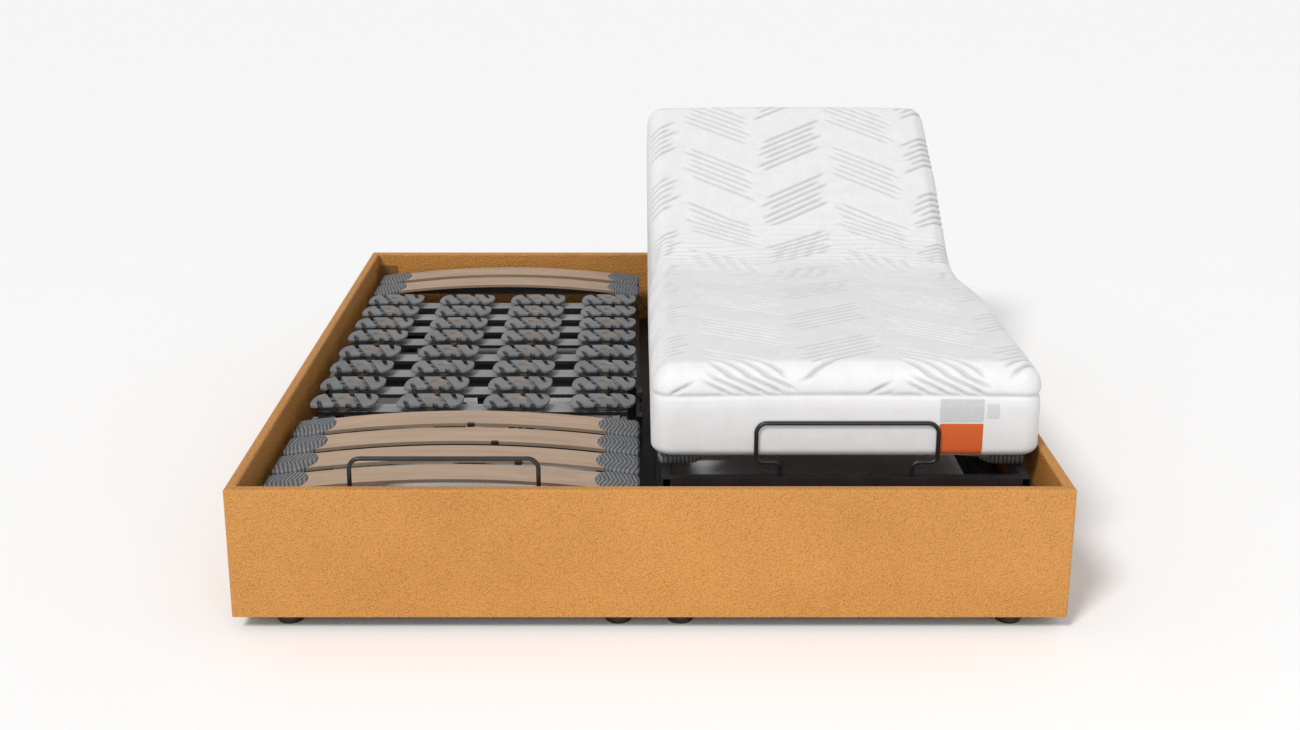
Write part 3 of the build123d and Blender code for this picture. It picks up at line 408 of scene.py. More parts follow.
# %% The line under the mattress
calf_low, calf_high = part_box("mattress_calf")
back_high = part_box("mattress_back")[1]
MATTRESS_MIDDLE_X = (calf_low.x + calf_high.x) / 2
MATTRESS_HALF_WIDTH = (calf_high.x - calf_low.x) / 2
MATTRESS_DEPTH = calf_high.z - calf_low.z
KNEE_TANGENT = 0.085
HIP_TANGENT = 0.222
LAP_TANGENT = 0.060
back_hinge = Vector(joints["right_back_lift"]["pos_m"])
thigh_hinge = Vector(joints["right_thigh_lift"]["pos_m"])
back_angle = -radians(joints["right_back_lift"]["range_deg"][0])
thigh_angle = radians(joints["right_thigh_lift"]["range_deg"][0])
seat_z = calf_low.z - (Vector(joints["right_knee"]["pos_m"]).z - thigh_hinge.z)
support_lift = seat_z - back_hinge.z
hip = Vector((back_hinge.y - support_lift * tan(back_angle / 2), seat_z))
lap = Vector((thigh_hinge.y - support_lift * tan(thigh_angle / 2), seat_z))
knee_rise = (calf_low.z - seat_z) / tan(-thigh_angle)
knee = Vector((lap.x - knee_rise, calf_low.z))
foot = Vector((calf_low.y, calf_low.z))
head = hip + (back_high.y - hip.x) / cos(back_angle) * Vector((cos(back_angle), sin(back_angle)))


def make_line(corners, tangents):
    """Join runs with arcs. Give stretches of (length, start, heading, turn), where a run has no turn."""
    stretches = []
    start = corners[0]
    for index in range(1, len(corners)):
        run = corners[index] - corners[index - 1]
        heading = atan2(run.y, run.x)
        reach = tangents[index] if index < len(corners) - 1 else 0.0
        end = corners[index] - reach * Vector((cos(heading), sin(heading)))
        stretches.append(((end - start).length, start, heading, 0.0))
        if index < len(corners) - 1:
            onward = corners[index + 1] - corners[index]
            turn = atan2(onward.y, onward.x) - heading
            length = reach / tan(abs(turn) / 2) * abs(turn)
            stretches.append((length, end, heading, turn))
            start = corners[index] + reach * onward.normalized()
    return stretches


under_line = make_line([foot, knee, lap, hip, head], [0.0, KNEE_TANGENT, LAP_TANGENT, HIP_TANGENT, 0.0])
MATTRESS_RUN = sum(stretch[0] for stretch in under_line)


def stretch_ends(index):
    """Give how far along the line a stretch starts and ends."""
    start = sum(stretch[0] for stretch in under_line[:index])
    return start, start + under_line[index][0]


knee_start, knee_end = stretch_ends(1)
thigh_start, thigh_end = stretch_ends(2)
lap_start, lap_end = stretch_ends(3)
seat_start, seat_end = stretch_ends(4)
hip_start, hip_end = stretch_ends(5)


def on_line(distance):
    """Give the point and the heading on the line under the mattress."""
    for index, (length, start, heading, turn) in enumerate(under_line):
        if distance <= length or index == len(under_line) - 1:
            break
        distance -= length
    if not turn:
        return start + distance * Vector((cos(heading), sin(heading))), heading
    radius = length / turn
    angle = heading + distance / radius
    across = Vector((sin(angle) - sin(heading), cos(heading) - cos(angle)))
    return start + radius * across, angle


print("the mattress is", round(MATTRESS_RUN, 3), "m long and", round(MATTRESS_DEPTH, 3), "m deep")

# %% [markdown]
# ## Mattress: the sewn cover
# The cover has two parts. Above a seam on its side it is quilted: bundles of parallel stitched lines,
# slanting one way in one column and the other way in the next. Below the seam it is a smooth border. A
# cube is cut into a fine grid, its edges are rounded as foam rounds them, and each point is then moved by
# the quilting, by the seam and by the small cross wrinkles where the mattress bends. Last, the flat
# cushion is laid on the line. The points are moved by formulas and no cloth is simulated, so that the
# narrow stitched lines stay sharp.

# %% Flat cushion
QUILT_STEP = 0.0033
BORDER_STEP = 0.0046
UNDERSIDE = 0.001
SEAM_HEIGHT = 0.158
TOP_RADIUS = 0.060
CORNER_RADIUS = 0.050
BOTTOM_RADIUS = 0.028


def cut_grid(mesh, axis, cuts, above=None):
    """Cut every edge that runs along one axis into equal lengths, all of them or those above a height."""
    edges = []
    for edge in mesh.edges:
        run = edge.verts[1].co - edge.verts[0].co
        height = min(vertex.co.z for vertex in edge.verts)
        if abs(run[axis]) > 0.9 * run.length and (above is None or height > above):
            edges.append(edge)
    bmesh.ops.subdivide_edges(mesh, edges=edges, cuts=cuts, use_grid_fill=True)


cushion = bmesh.new()
bmesh.ops.create_cube(cushion, size=1.0)
bmesh.ops.scale(cushion, vec=(2 * MATTRESS_HALF_WIDTH, MATTRESS_RUN, MATTRESS_DEPTH), verts=cushion.verts)
bmesh.ops.translate(cushion, vec=(0, MATTRESS_RUN / 2, MATTRESS_DEPTH / 2), verts=cushion.verts)
cut_grid(cushion, 2, round(MATTRESS_DEPTH / BORDER_STEP))
cut_grid(cushion, 1, round(MATTRESS_RUN / QUILT_STEP))
cut_grid(cushion, 0, round(2 * MATTRESS_HALF_WIDTH / QUILT_STEP), above=UNDERSIDE)
print("the flat cushion has", len(cushion.verts), "points")

# %% Rounded edges
NO_LENGTH = 1e-6


def round_over(point):
    """Move a point of the box onto the rounded cushion, and give it with the way it faces."""
    edge_radius = BOTTOM_RADIUS if point.z < MATTRESS_DEPTH / 2 else TOP_RADIUS
    radii = Vector((CORNER_RADIUS, CORNER_RADIUS, edge_radius))
    centre = Vector((0, MATTRESS_RUN / 2, MATTRESS_DEPTH / 2))
    half = Vector((MATTRESS_HALF_WIDTH, MATTRESS_RUN / 2, MATTRESS_DEPTH / 2))
    away = point - centre
    core = Vector([
        max(radius - limit, min(limit - radius, reach)) for reach, limit, radius in zip(away, half, radii)
    ])
    out = Vector([(reach - inner) / radius for reach, inner, radius in zip(away, core, radii)])
    if out.length < NO_LENGTH:
        return point.copy(), Vector((0, 0, 1))
    out.normalize()
    facing = Vector([part / radius for part, radius in zip(out, radii)]).normalized()
    return centre + core + Vector([part * radius for part, radius in zip(out, radii)]), facing


print("edges rounded to", TOP_RADIUS, "m above and", BOTTOM_RADIUS, "m below")

# %% Quilting, seam and wrinkles
COLUMN_WIDTH = 0.227
BUNDLE_PERIOD = 0.262
BUNDLE_START = 0.135
STITCH_GAP = 0.026
STITCH_SLOPE = 0.62
STITCH_ENDS = (0.32, 0.46)
STITCH_RAGGED = 0.014
BUNDLE_LINES = 6
COVER_PUFF = 0.0024
COVER_SAG = 0.0018
QUILT_DEPTH = 0.0086
GROOVE_WIDTH = 0.165
GROOVE_SHADE_WIDTH = 0.21
SEAM_DEPTH = 0.0040
SEAM_WIDTH = 0.0042
SEAM_FADE = 0.014
EDGE_ROLL = 0.45
SIDE_FACING = 0.3
TOP_FACING = 0.9
WRINKLE_DEPTH = 0.0021
WRINKLE_PITCH = 0.031
HIP_MIDDLE = (hip_start + hip_end) / 2
LAP_MIDDLE = (lap_start + lap_end) / 2
WRINKLED_BENDS = ((HIP_MIDDLE, 0.15, 1.0), (LAP_MIDDLE, 0.22, 0.55))
SINK_HEIGHTS = (0.06, 0.20)
PINCH_HEIGHTS = (0.02, 0.12)
CROWN_SINK = 0.006
HIP_SINK = 0.014
HIP_PINCH = 0.008
HIP_REACH = 0.26
BORDER_PUFF = 0.0026
BORDER_SET_BACK = 0.0012
BORDER_FADE = 0.03


def smooth_step(low, high, value):
    """Rise smoothly from 0 to 1 between two values."""
    share = max(0.0, min(1.0, (value - low) / (high - low)))
    return share * share * (3 - 2 * share)


def quilt(across, along, groove_width):
    """Give the quilting's height, from 0 on the puffed cover to -1 in a stitched line."""
    column = floor(across / COLUMN_WIDTH + 0.5)
    in_column = across - column * COLUMN_WIDTH
    lean = -1 if column % 2 else 1
    shifted = along + (0.5 * BUNDLE_PERIOD if column % 2 else 0.0) + BUNDLE_START
    bundle = floor((shifted - lean * STITCH_SLOPE * in_column) / BUNDLE_PERIOD + 0.5)
    line = (shifted - bundle * BUNDLE_PERIOD - lean * STITCH_SLOPE * in_column) / STITCH_GAP
    nearest = floor(line) + 0.5
    if abs(nearest) > BUNDLE_LINES / 2:
        return 0.0
    ragged = in_column + STITCH_RAGGED * sin(2.4 * nearest + 1.7 * bundle + column)
    ends = 1 - smooth_step(*STITCH_ENDS, abs(ragged) / COLUMN_WIDTH)
    groove = exp(-(((line - nearest) / groove_width) ** 2))
    return -ends * groove


def bend_wrinkle(across, along):
    """Give the small cross wrinkles of the cover over the hip and the lap."""
    total = 0.0
    for middle, reach, weight in WRINKLED_BENDS:
        near = exp(-(((along - middle) / reach) ** 2))
        wander = 1.6 * sin(across * 7 + 3 * along) + 0.9 * sin(across * 17)
        wave = sin(along * 2 * pi / WRINKLE_PITCH + wander)
        patchy = 0.55 + 0.45 * sin(across * 9 + along * 23) * sin(across * 4 - along * 11)
        total += weight * near * wave * patchy
    return total


def cover_place(point, facing):
    """Say where a point lies on the cover, with the edges rolled out flat."""
    drop = max(0.0, MATTRESS_DEPTH - TOP_RADIUS * EDGE_ROLL - point.z)
    across = point.x + (facing.x * drop if abs(facing.x) > SIDE_FACING else 0)
    along = point.y + (facing.y * drop if abs(facing.y) > SIDE_FACING else 0)
    return across, along


def above_seam(point):
    """Rise from 0 on the border to 1 on the quilted cover."""
    return smooth_step(SEAM_HEIGHT, SEAM_HEIGHT + SEAM_FADE, point.z)


def cover_push(point, facing):
    """Say how far a point of the rounded cushion moves out or in."""
    across, along = cover_place(point, facing)
    cover = above_seam(point)
    push = cover * (COVER_PUFF + QUILT_DEPTH * quilt(across, along, GROOVE_WIDTH))
    push += cover * WRINKLE_DEPTH * bend_wrinkle(across, along) * max(0.0, facing.z)
    if abs(facing.z) < TOP_FACING:
        push -= SEAM_DEPTH * exp(-(((point.z - SEAM_HEIGHT) / SEAM_WIDTH) ** 2))
        border = smooth_step(0.0, BORDER_FADE, point.z)
        border *= 1 - smooth_step(SEAM_HEIGHT - BORDER_FADE, SEAM_HEIGHT, point.z)
        push += BORDER_PUFF * border - BORDER_SET_BACK
    sag = 0.5 + 0.5 * sin(across * 5.1 + 1.9 * sin(along * 3.7)) * sin(along * 4.3 + 0.8)
    return push + COVER_SAG * cover * (sag - 0.5)


def settle(point):
    """Let the top sink towards its sides, and the hip sink and draw in as the mattress folds there."""
    upper = smooth_step(*SINK_HEIGHTS, point.z)
    folded = exp(-(((point.y - HIP_MIDDLE) / HIP_REACH) ** 2))
    sink = CROWN_SINK * (point.x / MATTRESS_HALF_WIDTH) ** 2 + HIP_SINK * folded
    drawn = 1 - HIP_PINCH * folded * smooth_step(*PINCH_HEIGHTS, point.z) / MATTRESS_HALF_WIDTH
    return Vector((point.x * drawn, point.y, point.z - upper * sink))


def lay_down(point):
    """Bend a point of the flat cushion onto the line."""
    distance = max(0.0, min(MATTRESS_RUN, point.y))
    spot, heading = on_line(distance)
    beyond = point.y - distance
    forward = Vector((cos(heading), sin(heading)))
    upward = Vector((-sin(heading), cos(heading)))
    bent = spot + beyond * forward + point.z * upward
    return Vector((MATTRESS_MIDDLE_X + point.x, bent.x, bent.y))


run_layer = cushion.verts.layers.float.new("cover_run")
across_layer = cushion.verts.layers.float.new("cover_across")
height_layer = cushion.verts.layers.float.new("cover_height")
groove_shade_layer = cushion.verts.layers.float.new("cover_groove_shade")
facing_layer = cushion.verts.layers.float_vector.new("cover_facing")
for vertex in cushion.verts:
    rounded, facing = round_over(vertex.co)
    pushed = settle(rounded + facing * cover_push(rounded, facing))
    # The groove attribute holds painted shade for the stitched lines, on a wider profile than their relief.
    vertex[groove_shade_layer] = -above_seam(rounded) * quilt(*cover_place(rounded, facing), GROOVE_SHADE_WIDTH)
    vertex[run_layer] = vertex.co.y
    vertex[across_layer] = pushed.x
    vertex[height_layer] = pushed.z
    vertex.co = lay_down(pushed)
cushion.normal_update()
for vertex in cushion.verts:
    vertex[facing_layer] = vertex.normal
print("sewn and bent")

# %% [markdown]
# ## Mattress: three lengths that follow the unit
# When the unit moves, the mattress bends at the hip, the lap and the knee. A piece can turn between two
# bodies only, so the finished cushion is divided in the middle of the seat and in the middle of the
# thigh, where it stays straight. Each length is closed, and keeps the shading of the whole, so that the
# cuts don't show.

# %% Knitted cover
GROOVE_SHADE = 0.25
KNIT_RIB = 0.0068
KNIT_LOOP = 0.0090
KNIT_DEPTH = 0.0005
KNIT_TONES = ((0.0, (0.42, 0.42, 0.43)), (0.2, (0.70, 0.70, 0.705)), (0.8, (0.82, 0.82, 0.82)))

knit, tree, shader, coordinates = start_finish("quilted_white_knit")
across = add_node(tree, "ShaderNodeAttribute", attribute_name="cover_across").outputs["Fac"]
run = add_node(tree, "ShaderNodeAttribute", attribute_name="cover_run").outputs["Fac"]
height = add_node(tree, "ShaderNodeAttribute", attribute_name="cover_height").outputs["Fac"]
groove = add_node(tree, "ShaderNodeAttribute", attribute_name="cover_groove_shade").outputs["Fac"]
ribs = math(tree, "SINE", math(tree, "MULTIPLY", run, 2 * pi / KNIT_RIB))
loops = math(tree, "SINE", math(tree, "MULTIPLY", across, 2 * pi / KNIT_LOOP))
weave = math(tree, "ADD", math(tree, "MULTIPLY", ribs, 0.62), math(tree, "MULTIPLY", loops, 0.38))
fuzz = noise(tree, coordinates, 420.0, 4.0, 0.6)
weave = math(tree, "ADD", weave, math(tree, "MULTIPLY", fuzz, 0.9))
quilted = math(tree, "GREATER_THAN", height, SEAM_HEIGHT)
weave = math(tree, "MULTIPLY", weave, span(tree, quilted, 0.22, 1.0))
clouds = math(tree, "MULTIPLY", noise(tree, coordinates, 26.0, 5.0, 0.6), 0.7)
tone = math(tree, "ADD", clouds, math(tree, "MULTIPLY", weave, 0.10))
# Painted shade: the stitched grooves darken the knit's colour.
painted_groove_shade = math(tree, "MULTIPLY", groove, GROOVE_SHADE)
cover_colour = darkened(tree, shades(tree, tone, KNIT_TONES), painted_groove_shade)
tree.links.new(cover_colour, shader.inputs["Base Color"])
shader.inputs["Roughness"].default_value = 0.86
shader.inputs["Sheen Weight"].default_value = 0.25
shader.inputs["Sheen Roughness"].default_value = 0.55
relief(tree, shader, weave, KNIT_DEPTH, 0.45)
print("knit with ribs of", round(KNIT_RIB * 1000, 1), "mm")

# %% Divide the mattress
RING_SLACK = 1e-5
ring_step = MATTRESS_RUN / (round(MATTRESS_RUN / QUILT_STEP) + 1)
seat_middle = (seat_start + seat_end) / 2
thigh_middle = (thigh_start + thigh_end) / 2
seat_cut = round(seat_middle / ring_step) * ring_step
thigh_cut = round(thigh_middle / ring_step) * ring_step


def mattress_length(name, start, end, bodies, turn_start, turn_end, stands_for):
    """Make one length of the mattress, closed at its cuts, that bends between two bodies."""
    length = cushion.copy()
    layer = length.verts.layers.float["cover_run"]
    kept = (start - RING_SLACK, end + RING_SLACK)
    outside = [vertex for vertex in length.verts if not kept[0] < vertex[layer] < kept[1]]
    bmesh.ops.delete(length, geom=outside, context="VERTS")
    open_edges = [edge for edge in length.edges if edge.is_boundary]
    bmesh.ops.holes_fill(length, edges=open_edges, sides=0)
    for face in length.faces:
        face.smooth = True
    facing = length.verts.layers.float_vector["cover_facing"]
    normals = [tuple(vertex[facing]) for vertex in length.verts]
    length.verts.layers.float_vector.remove(facing)
    mesh = bpy.data.meshes.new(name)
    length.to_mesh(mesh)
    length.free()
    mesh.normals_split_custom_set_from_vertices(normals)
    mesh.materials.append(knit)
    piece = bpy.data.objects.new(name, mesh)
    bpy.context.scene.collection.objects.link(piece)
    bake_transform(piece, *bodies, start=turn_start, end=turn_end)
    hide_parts(*stands_for)
    print(name, "has", len(mesh.polygons), "faces")


def under(distance):
    """Give a point of the line under the mattress in the bed's frame."""
    spot = on_line(distance)[0]
    return (MATTRESS_MIDDLE_X, spot.x, spot.y)


# A turn that starts right at the cut would open the top of the cut. The turns at the hip and the lap
# therefore start and end inside their bends, so that both sides of a cut ride on one body over their
# whole height.
HIP_INSET = 0.06
LAP_INSET = 0.012

mattress_length(
    "mattress_head_length", seat_cut, MATTRESS_RUN, ("right_carriage", "right_back"),
    under(hip_start + HIP_INSET), under(hip_end - HIP_INSET), ("mattress_back", "mattress_middle"),
)
mattress_length(
    "mattress_seat_length", thigh_cut, seat_cut, ("right_carriage", "right_thigh"),
    under(lap_end - LAP_INSET), under(lap_start + LAP_INSET), ("mattress_thigh",),
)
mattress_length(
    "mattress_foot_length", 0.0, thigh_cut, ("right_thigh", "right_calf"),
    under(knee_end), under(knee_start), ("mattress_calf",),
)
cushion.free()

# %% [markdown]
# ## Sewn label on the mattress
# A woven label is sewn on the foot end: pale grey above and plain orange below. A smaller pale tag sits
# beside it. A label follows the cushion under it, so a thin grid is laid on the cushion with the same
# formulas as the cover, a hair further out, and then given its thickness.

# %% Label cloth
THREAD_SCALE = 900.0
THREAD_DEPTH = 0.0003
LABEL_GREY = (0.56, 0.57, 0.58)
LABEL_ORANGE = (0.64, 0.105, 0.013)
TAG_WHITE = (0.60, 0.62, 0.64)


def make_label_cloth(name, colour):
    """Make a fine woven ribbon in one colour."""
    cloth, tree, shader, coordinates = start_finish(name)
    threads = noise(tree, stretched(tree, coordinates, (1, 1, 0.12)), THREAD_SCALE, 2.0)
    wefts = noise(tree, stretched(tree, coordinates, (0.12, 1, 1)), THREAD_SCALE, 2.0)
    woven = math(tree, "MULTIPLY", math(tree, "ADD", threads, wefts), 0.5)
    low = tuple(0.84 * part for part in colour)
    high = tuple(min(1.0, 1.12 * part) for part in colour)
    tree.links.new(shades(tree, woven, ((0.3, low), (0.7, high))), shader.inputs["Base Color"])
    tree.links.new(span(tree, woven, 0.55, 0.75), shader.inputs["Roughness"])
    shader.inputs["Sheen Weight"].default_value = 0.15
    relief(tree, shader, woven, THREAD_DEPTH, 0.5)
    return cloth


print("label cloth ready")

# %% Labels on the foot end
LABEL_PROUD = 0.0004
LABEL_THICKNESS = 0.0004
LABEL_LEFT = 0.660
LABEL_RIGHT = 0.765
LABEL_LOW = 0.008
LABEL_SPLIT = 0.094
LABEL_HIGH = SEAM_HEIGHT - 0.004
LABEL_FOLD = 0.0006
LABEL_RIM = 0.49
TAG_LEFT = LABEL_RIGHT + 0.004
TAG_RIGHT = LABEL_RIGHT + 0.034
TAG_LOW = 0.104
TAG_HIGH = 0.142


def sew_label(name, colour, left, right, low, high):
    """Lay a patch on the foot end of the mattress, between two places across it and two heights."""
    patch = bmesh.new()
    bmesh.ops.create_grid(patch, x_segments=16, y_segments=16, size=0.5)
    for vertex in patch.verts:
        across = left + (right - left) * (vertex.co.x + 0.5) - MATTRESS_MIDDLE_X
        height = low + (high - low) * (vertex.co.y + 0.5)
        rounded, facing = round_over(Vector((across, 0, height)))
        rim = max(abs(vertex.co.x), abs(vertex.co.y)) > LABEL_RIM
        proud = LABEL_PROUD - (LABEL_FOLD if rim else 0.0)
        vertex.co = lay_down(settle(rounded + facing * (cover_push(rounded, facing) + proud)))
    bmesh.ops.recalc_face_normals(patch, faces=patch.faces)
    if sum(face.normal.y for face in patch.faces) > 0:
        bmesh.ops.reverse_faces(patch, faces=patch.faces)
    bmesh.ops.solidify(patch, geom=list(patch.faces), thickness=LABEL_THICKNESS)
    data = bpy.data.meshes.new(name)
    patch.to_mesh(data)
    patch.free()
    data.materials.append(make_label_cloth(f"{name}_cloth", colour))
    label = bpy.data.objects.new(name, data)
    bpy.context.scene.collection.objects.link(label)
    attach(label, "right_calf")


sew_label("grey_label", LABEL_GREY, LABEL_LEFT, LABEL_RIGHT, LABEL_SPLIT, LABEL_HIGH)
sew_label("orange_label", LABEL_ORANGE, LABEL_LEFT, LABEL_RIGHT, LABEL_LOW, LABEL_SPLIT)
sew_label("white_tag", TAG_WHITE, TAG_LEFT, TAG_RIGHT, TAG_LOW, TAG_HIGH)
print("labels sewn on")

# %% [markdown]
# ## Placing moulded pieces on both units
# The left unit lies flat, so its pieces are modelled there, in the bed's frame. The right unit has the
# same pieces in its raised pose. Each joint is known on both sides, so one turn about its axis carries a
# piece of the left unit to its place on the right one.

# %% From the left unit to the right one
RAISED_BY = {"carriage": "back_lift", "back": "back_lift", "thigh": "thigh_lift", "calf": "knee"}
RAISED_ANGLE = {"carriage": 0.0, "back": back_angle, "thigh": thigh_angle, "calf": 0.0}
UNIT_X = joints["left_back_lift"]["pos_m"][0]
RAIL_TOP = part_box("left_calf_caps")[0].z
PLATE_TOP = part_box("left_seat_elements")[1].z


def to_right_unit(section):
    """Give the move that takes a piece of the left unit's section to the right unit."""
    left_spot = Vector(joints[f"left_{RAISED_BY[section]}"]["pos_m"])
    right_spot = Vector(joints[f"right_{RAISED_BY[section]}"]["pos_m"])
    turn = Matrix.Rotation(RAISED_ANGLE[section], 4, "X")
    return Matrix.Translation(right_spot) @ turn @ Matrix.Translation(-left_spot)


def place_on(side, name, mesh, material, section, node=None):
    """Put a mesh of the left unit on one unit, riding on its section."""
    data = bpy.data.meshes.new(f"{side}_{name}")
    mesh.to_mesh(data)
    if side == "right":
        data.transform(to_right_unit(section))
    data.materials.append(material)
    piece = bpy.data.objects.new(f"{side}_{name}", data)
    bpy.context.scene.collection.objects.link(piece)
    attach(piece, f"{side}_{section}")
    if node:
        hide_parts(f"{side}_{node}")


print("the right unit's back is raised", round(degrees(back_angle), 1), "degrees")

# %% [markdown]
# ## Spring elements
# Each spring element is a plastic plate in three lobes. The outer lobes are horseshoes, one open to the
# foot and one open to the head, and the middle lobe carries raised arches in a warmer plastic. Slanting
# gaps part the lobes, and short webs a little lower hold them together. An outline of a few points is
# extruded and its rim is rounded. A stem and a dark base stand under the lobes.

# %% Lobes of a spring element
PLATE_THICKNESS = 0.0065
PLATE_HALF_WIDTH = 0.085
PLATE_DROOP = 0.0035
DROOP_DEPTH = 0.0125
WEB_PLACES = ((-0.035, 0.016), (-0.024, -0.014), (0.035, -0.016), (0.024, 0.014))
WEB_SIZE = (0.024, 0.006, 0.004)
WEB_DROP = 0.0062
OUTER_LOBE = (
    (-85, -22), (-83, -34), (-77, -42), (-68, -45), (-61, -45), (-66, -28), (-70, -8), (-66, -3), (-60, -7),
    (-53, -28), (-47, -45), (-23, -45), (-19, -41), (-53, 41), (-57, 45), (-62, 45), (-71, 40), (-78, 30),
    (-83, 14), (-85, -4),
)
MIDDLE_LOBE = (
    (-1, -45), (11, -45), (10, -33), (14, -30), (21, -31), (24, -34), (26, -45), (36, -45), (40, -41),
    (5, 41), (1, 45), (-36, 45), (-40, 41), (-5, -41),
)
ROUNDED_RIM = 0.0013
MILLIMETRE = 0.001


def round_edges(mesh, edges, offset, segments):
    """Round some edges of a mesh."""
    bmesh.ops.bevel(
        mesh, geom=edges, offset=offset, segments=segments, profile=0.5, affect="EDGES", material=-1,
    )


def add_lobe(mesh, outline, turned=False):
    """Extrude one lobe from its outline in millimetres and round its upper rim."""
    scale = -MILLIMETRE if turned else MILLIMETRE
    corners = [mesh.verts.new((scale * x, scale * y, PLATE_TOP - PLATE_THICKNESS)) for x, y in outline]
    underside = mesh.faces.new(corners)
    raised = bmesh.ops.extrude_face_region(mesh, geom=[underside], use_keep_orig=True)["geom"]
    rim_corners = [item for item in raised if isinstance(item, bmesh.types.BMVert)]
    bmesh.ops.translate(mesh, vec=(0, 0, PLATE_THICKNESS), verts=rim_corners)
    rim = [item for item in raised if isinstance(item, bmesh.types.BMEdge)]
    round_edges(mesh, rim, ROUNDED_RIM, 2)


def add_block(mesh, middle, size, bevel=0.0):
    """Add a small block, with rounded edges if it has a bevel."""
    made = bmesh.ops.create_cube(mesh, size=1.0)["verts"]
    bmesh.ops.scale(mesh, vec=size, verts=made)
    bmesh.ops.translate(mesh, vec=middle, verts=made)
    if bevel:
        edges = list({edge for vertex in made for edge in vertex.link_edges})
        round_edges(mesh, edges, bevel, 1)


element = bmesh.new()
add_lobe(element, OUTER_LOBE)
add_lobe(element, MIDDLE_LOBE)
add_lobe(element, OUTER_LOBE, turned=True)
for web_x, web_y in WEB_PLACES:
    add_block(element, (web_x, web_y, PLATE_TOP - WEB_DROP), WEB_SIZE)
bmesh.ops.recalc_face_normals(element, faces=element.faces)
for vertex in element.verts:
    if vertex.co.z > PLATE_TOP - DROOP_DEPTH:
        vertex.co.z -= PLATE_DROOP * (vertex.co.x / PLATE_HALF_WIDTH) ** 2
print("one spring element has", len(element.faces), "faces")

# %% Raised arches on the middle lobe
ARCH_WIDTHS = (0.0105, 0.0165, 0.0225)
ARCH_HEIGHT = 0.0020
ARCH_LINE = 0.0016
ARCH_MIDDLE = 0.018
ARCH_FOOT_Y = -0.036
ARCH_SPRING_Y = -0.006
ARCH_LEAN = -0.40
ARCH_BED = PLATE_TOP - 0.0004
STEM_HEIGHT = 0.018
STEM_RADII = (0.021, 0.016)

arches = bmesh.new()
for arch_width in ARCH_WIDTHS:
    leg_top_x = ARCH_MIDDLE + arch_width + ARCH_LEAN * (ARCH_SPRING_Y - ARCH_FOOT_Y)
    near_foot = arches.verts.new((ARCH_MIDDLE + arch_width, ARCH_FOOT_Y, ARCH_BED))
    near_top = arches.verts.new((leg_top_x, ARCH_SPRING_Y, ARCH_BED))
    arches.edges.new((near_foot, near_top))
    arch_centre = (near_top.co.x - arch_width, ARCH_SPRING_Y, ARCH_BED)
    spun = bmesh.ops.spin(arches, geom=[near_top], cent=arch_centre, axis=(0, 0, 1), angle=pi, steps=8)
    far_top = [item for item in spun["geom_last"] if isinstance(item, bmesh.types.BMVert)][0]
    far_foot = arches.verts.new((ARCH_MIDDLE - arch_width, ARCH_FOOT_Y, ARCH_BED))
    arches.edges.new((far_top, far_foot))
ribbon = bmesh.ops.extrude_edge_only(arches, edges=list(arches.edges))["geom"]
upper = [item for item in ribbon if isinstance(item, bmesh.types.BMVert)]
bmesh.ops.translate(arches, vec=(0, 0, ARCH_HEIGHT), verts=upper)
bmesh.ops.solidify(arches, geom=list(arches.faces), thickness=ARCH_LINE)
stem = bmesh.ops.create_cone(
    arches, cap_ends=True, segments=14, radius1=STEM_RADII[0], radius2=STEM_RADII[1], depth=STEM_HEIGHT,
)["verts"]
bmesh.ops.translate(arches, vec=(0, 0, PLATE_TOP - PLATE_THICKNESS - STEM_HEIGHT / 2), verts=stem)
bmesh.ops.recalc_face_normals(arches, faces=arches.faces)
print("the arches and the stem of one element have", len(arches.faces), "faces")

# %% Dark base under the lobes
BASE_SIZE = (0.150, 0.070, 0.005)
BASE_DROP = 0.0037
BASE_BEVEL = 0.0012

base = bmesh.new()
add_block(base, (0, 0, PLATE_TOP - PLATE_THICKNESS - BASE_DROP), BASE_SIZE, BASE_BEVEL)
bmesh.ops.recalc_face_normals(base, faces=base.faces)
print("the base has", len(base.faces), "faces")

# %% Finishes of the spring elements
grey_plastic = make_coat(
    "grey_spring_plastic", ((0.135, 0.140, 0.147), (0.205, 0.210, 0.215)), (0.42, 0.60), 650, 0.0004,
)
warm_plastic = make_coat(
    "warm_arch_plastic", ((0.26, 0.205, 0.16), (0.37, 0.30, 0.24)), (0.45, 0.6), 500, 0.0003,
)
print("plastics of the elements ready")

# %% Rows of spring elements
ELEMENT_COLUMNS = (-0.336, -0.112, 0.112, 0.336)
ELEMENT_ROWS = {
    "thigh": ("thigh", (-0.336, -0.200)),
    "seat": ("carriage", (-0.058, 0.080)),
    "back": ("back", (0.226, 0.352, 0.478, 0.604)),
}


def repeat(shape, places):
    """Copy a shape to each place in one mesh."""
    whole = bmesh.new()
    data = bpy.data.meshes.new("pattern")
    shape.to_mesh(data)
    for x, y in places:
        before = len(whole.verts)
        whole.from_mesh(data)
        whole.verts.ensure_lookup_table()
        bmesh.ops.translate(whole, vec=(x, y, 0), verts=whole.verts[before:])
    bpy.data.meshes.remove(data)
    return whole


for row_name, (section, rows) in ELEMENT_ROWS.items():
    places = [(UNIT_X + column, row) for row in rows for column in ELEMENT_COLUMNS]
    plates, warm, dark = (repeat(shape, places) for shape in (element, arches, base))
    for side in SIDES:
        elements = f"{row_name}_elements"
        place_on(side, f"{row_name}_springs", plates, grey_plastic, section, elements)
        place_on(side, f"{row_name}_arches", warm, warm_plastic, section)
        place_on(side, f"{row_name}_bases", dark, dark_plastic, section)
    for mesh in (plates, warm, dark):
        mesh.free()
for mesh in (element, arches, base):
    mesh.free()
print("spring elements placed")
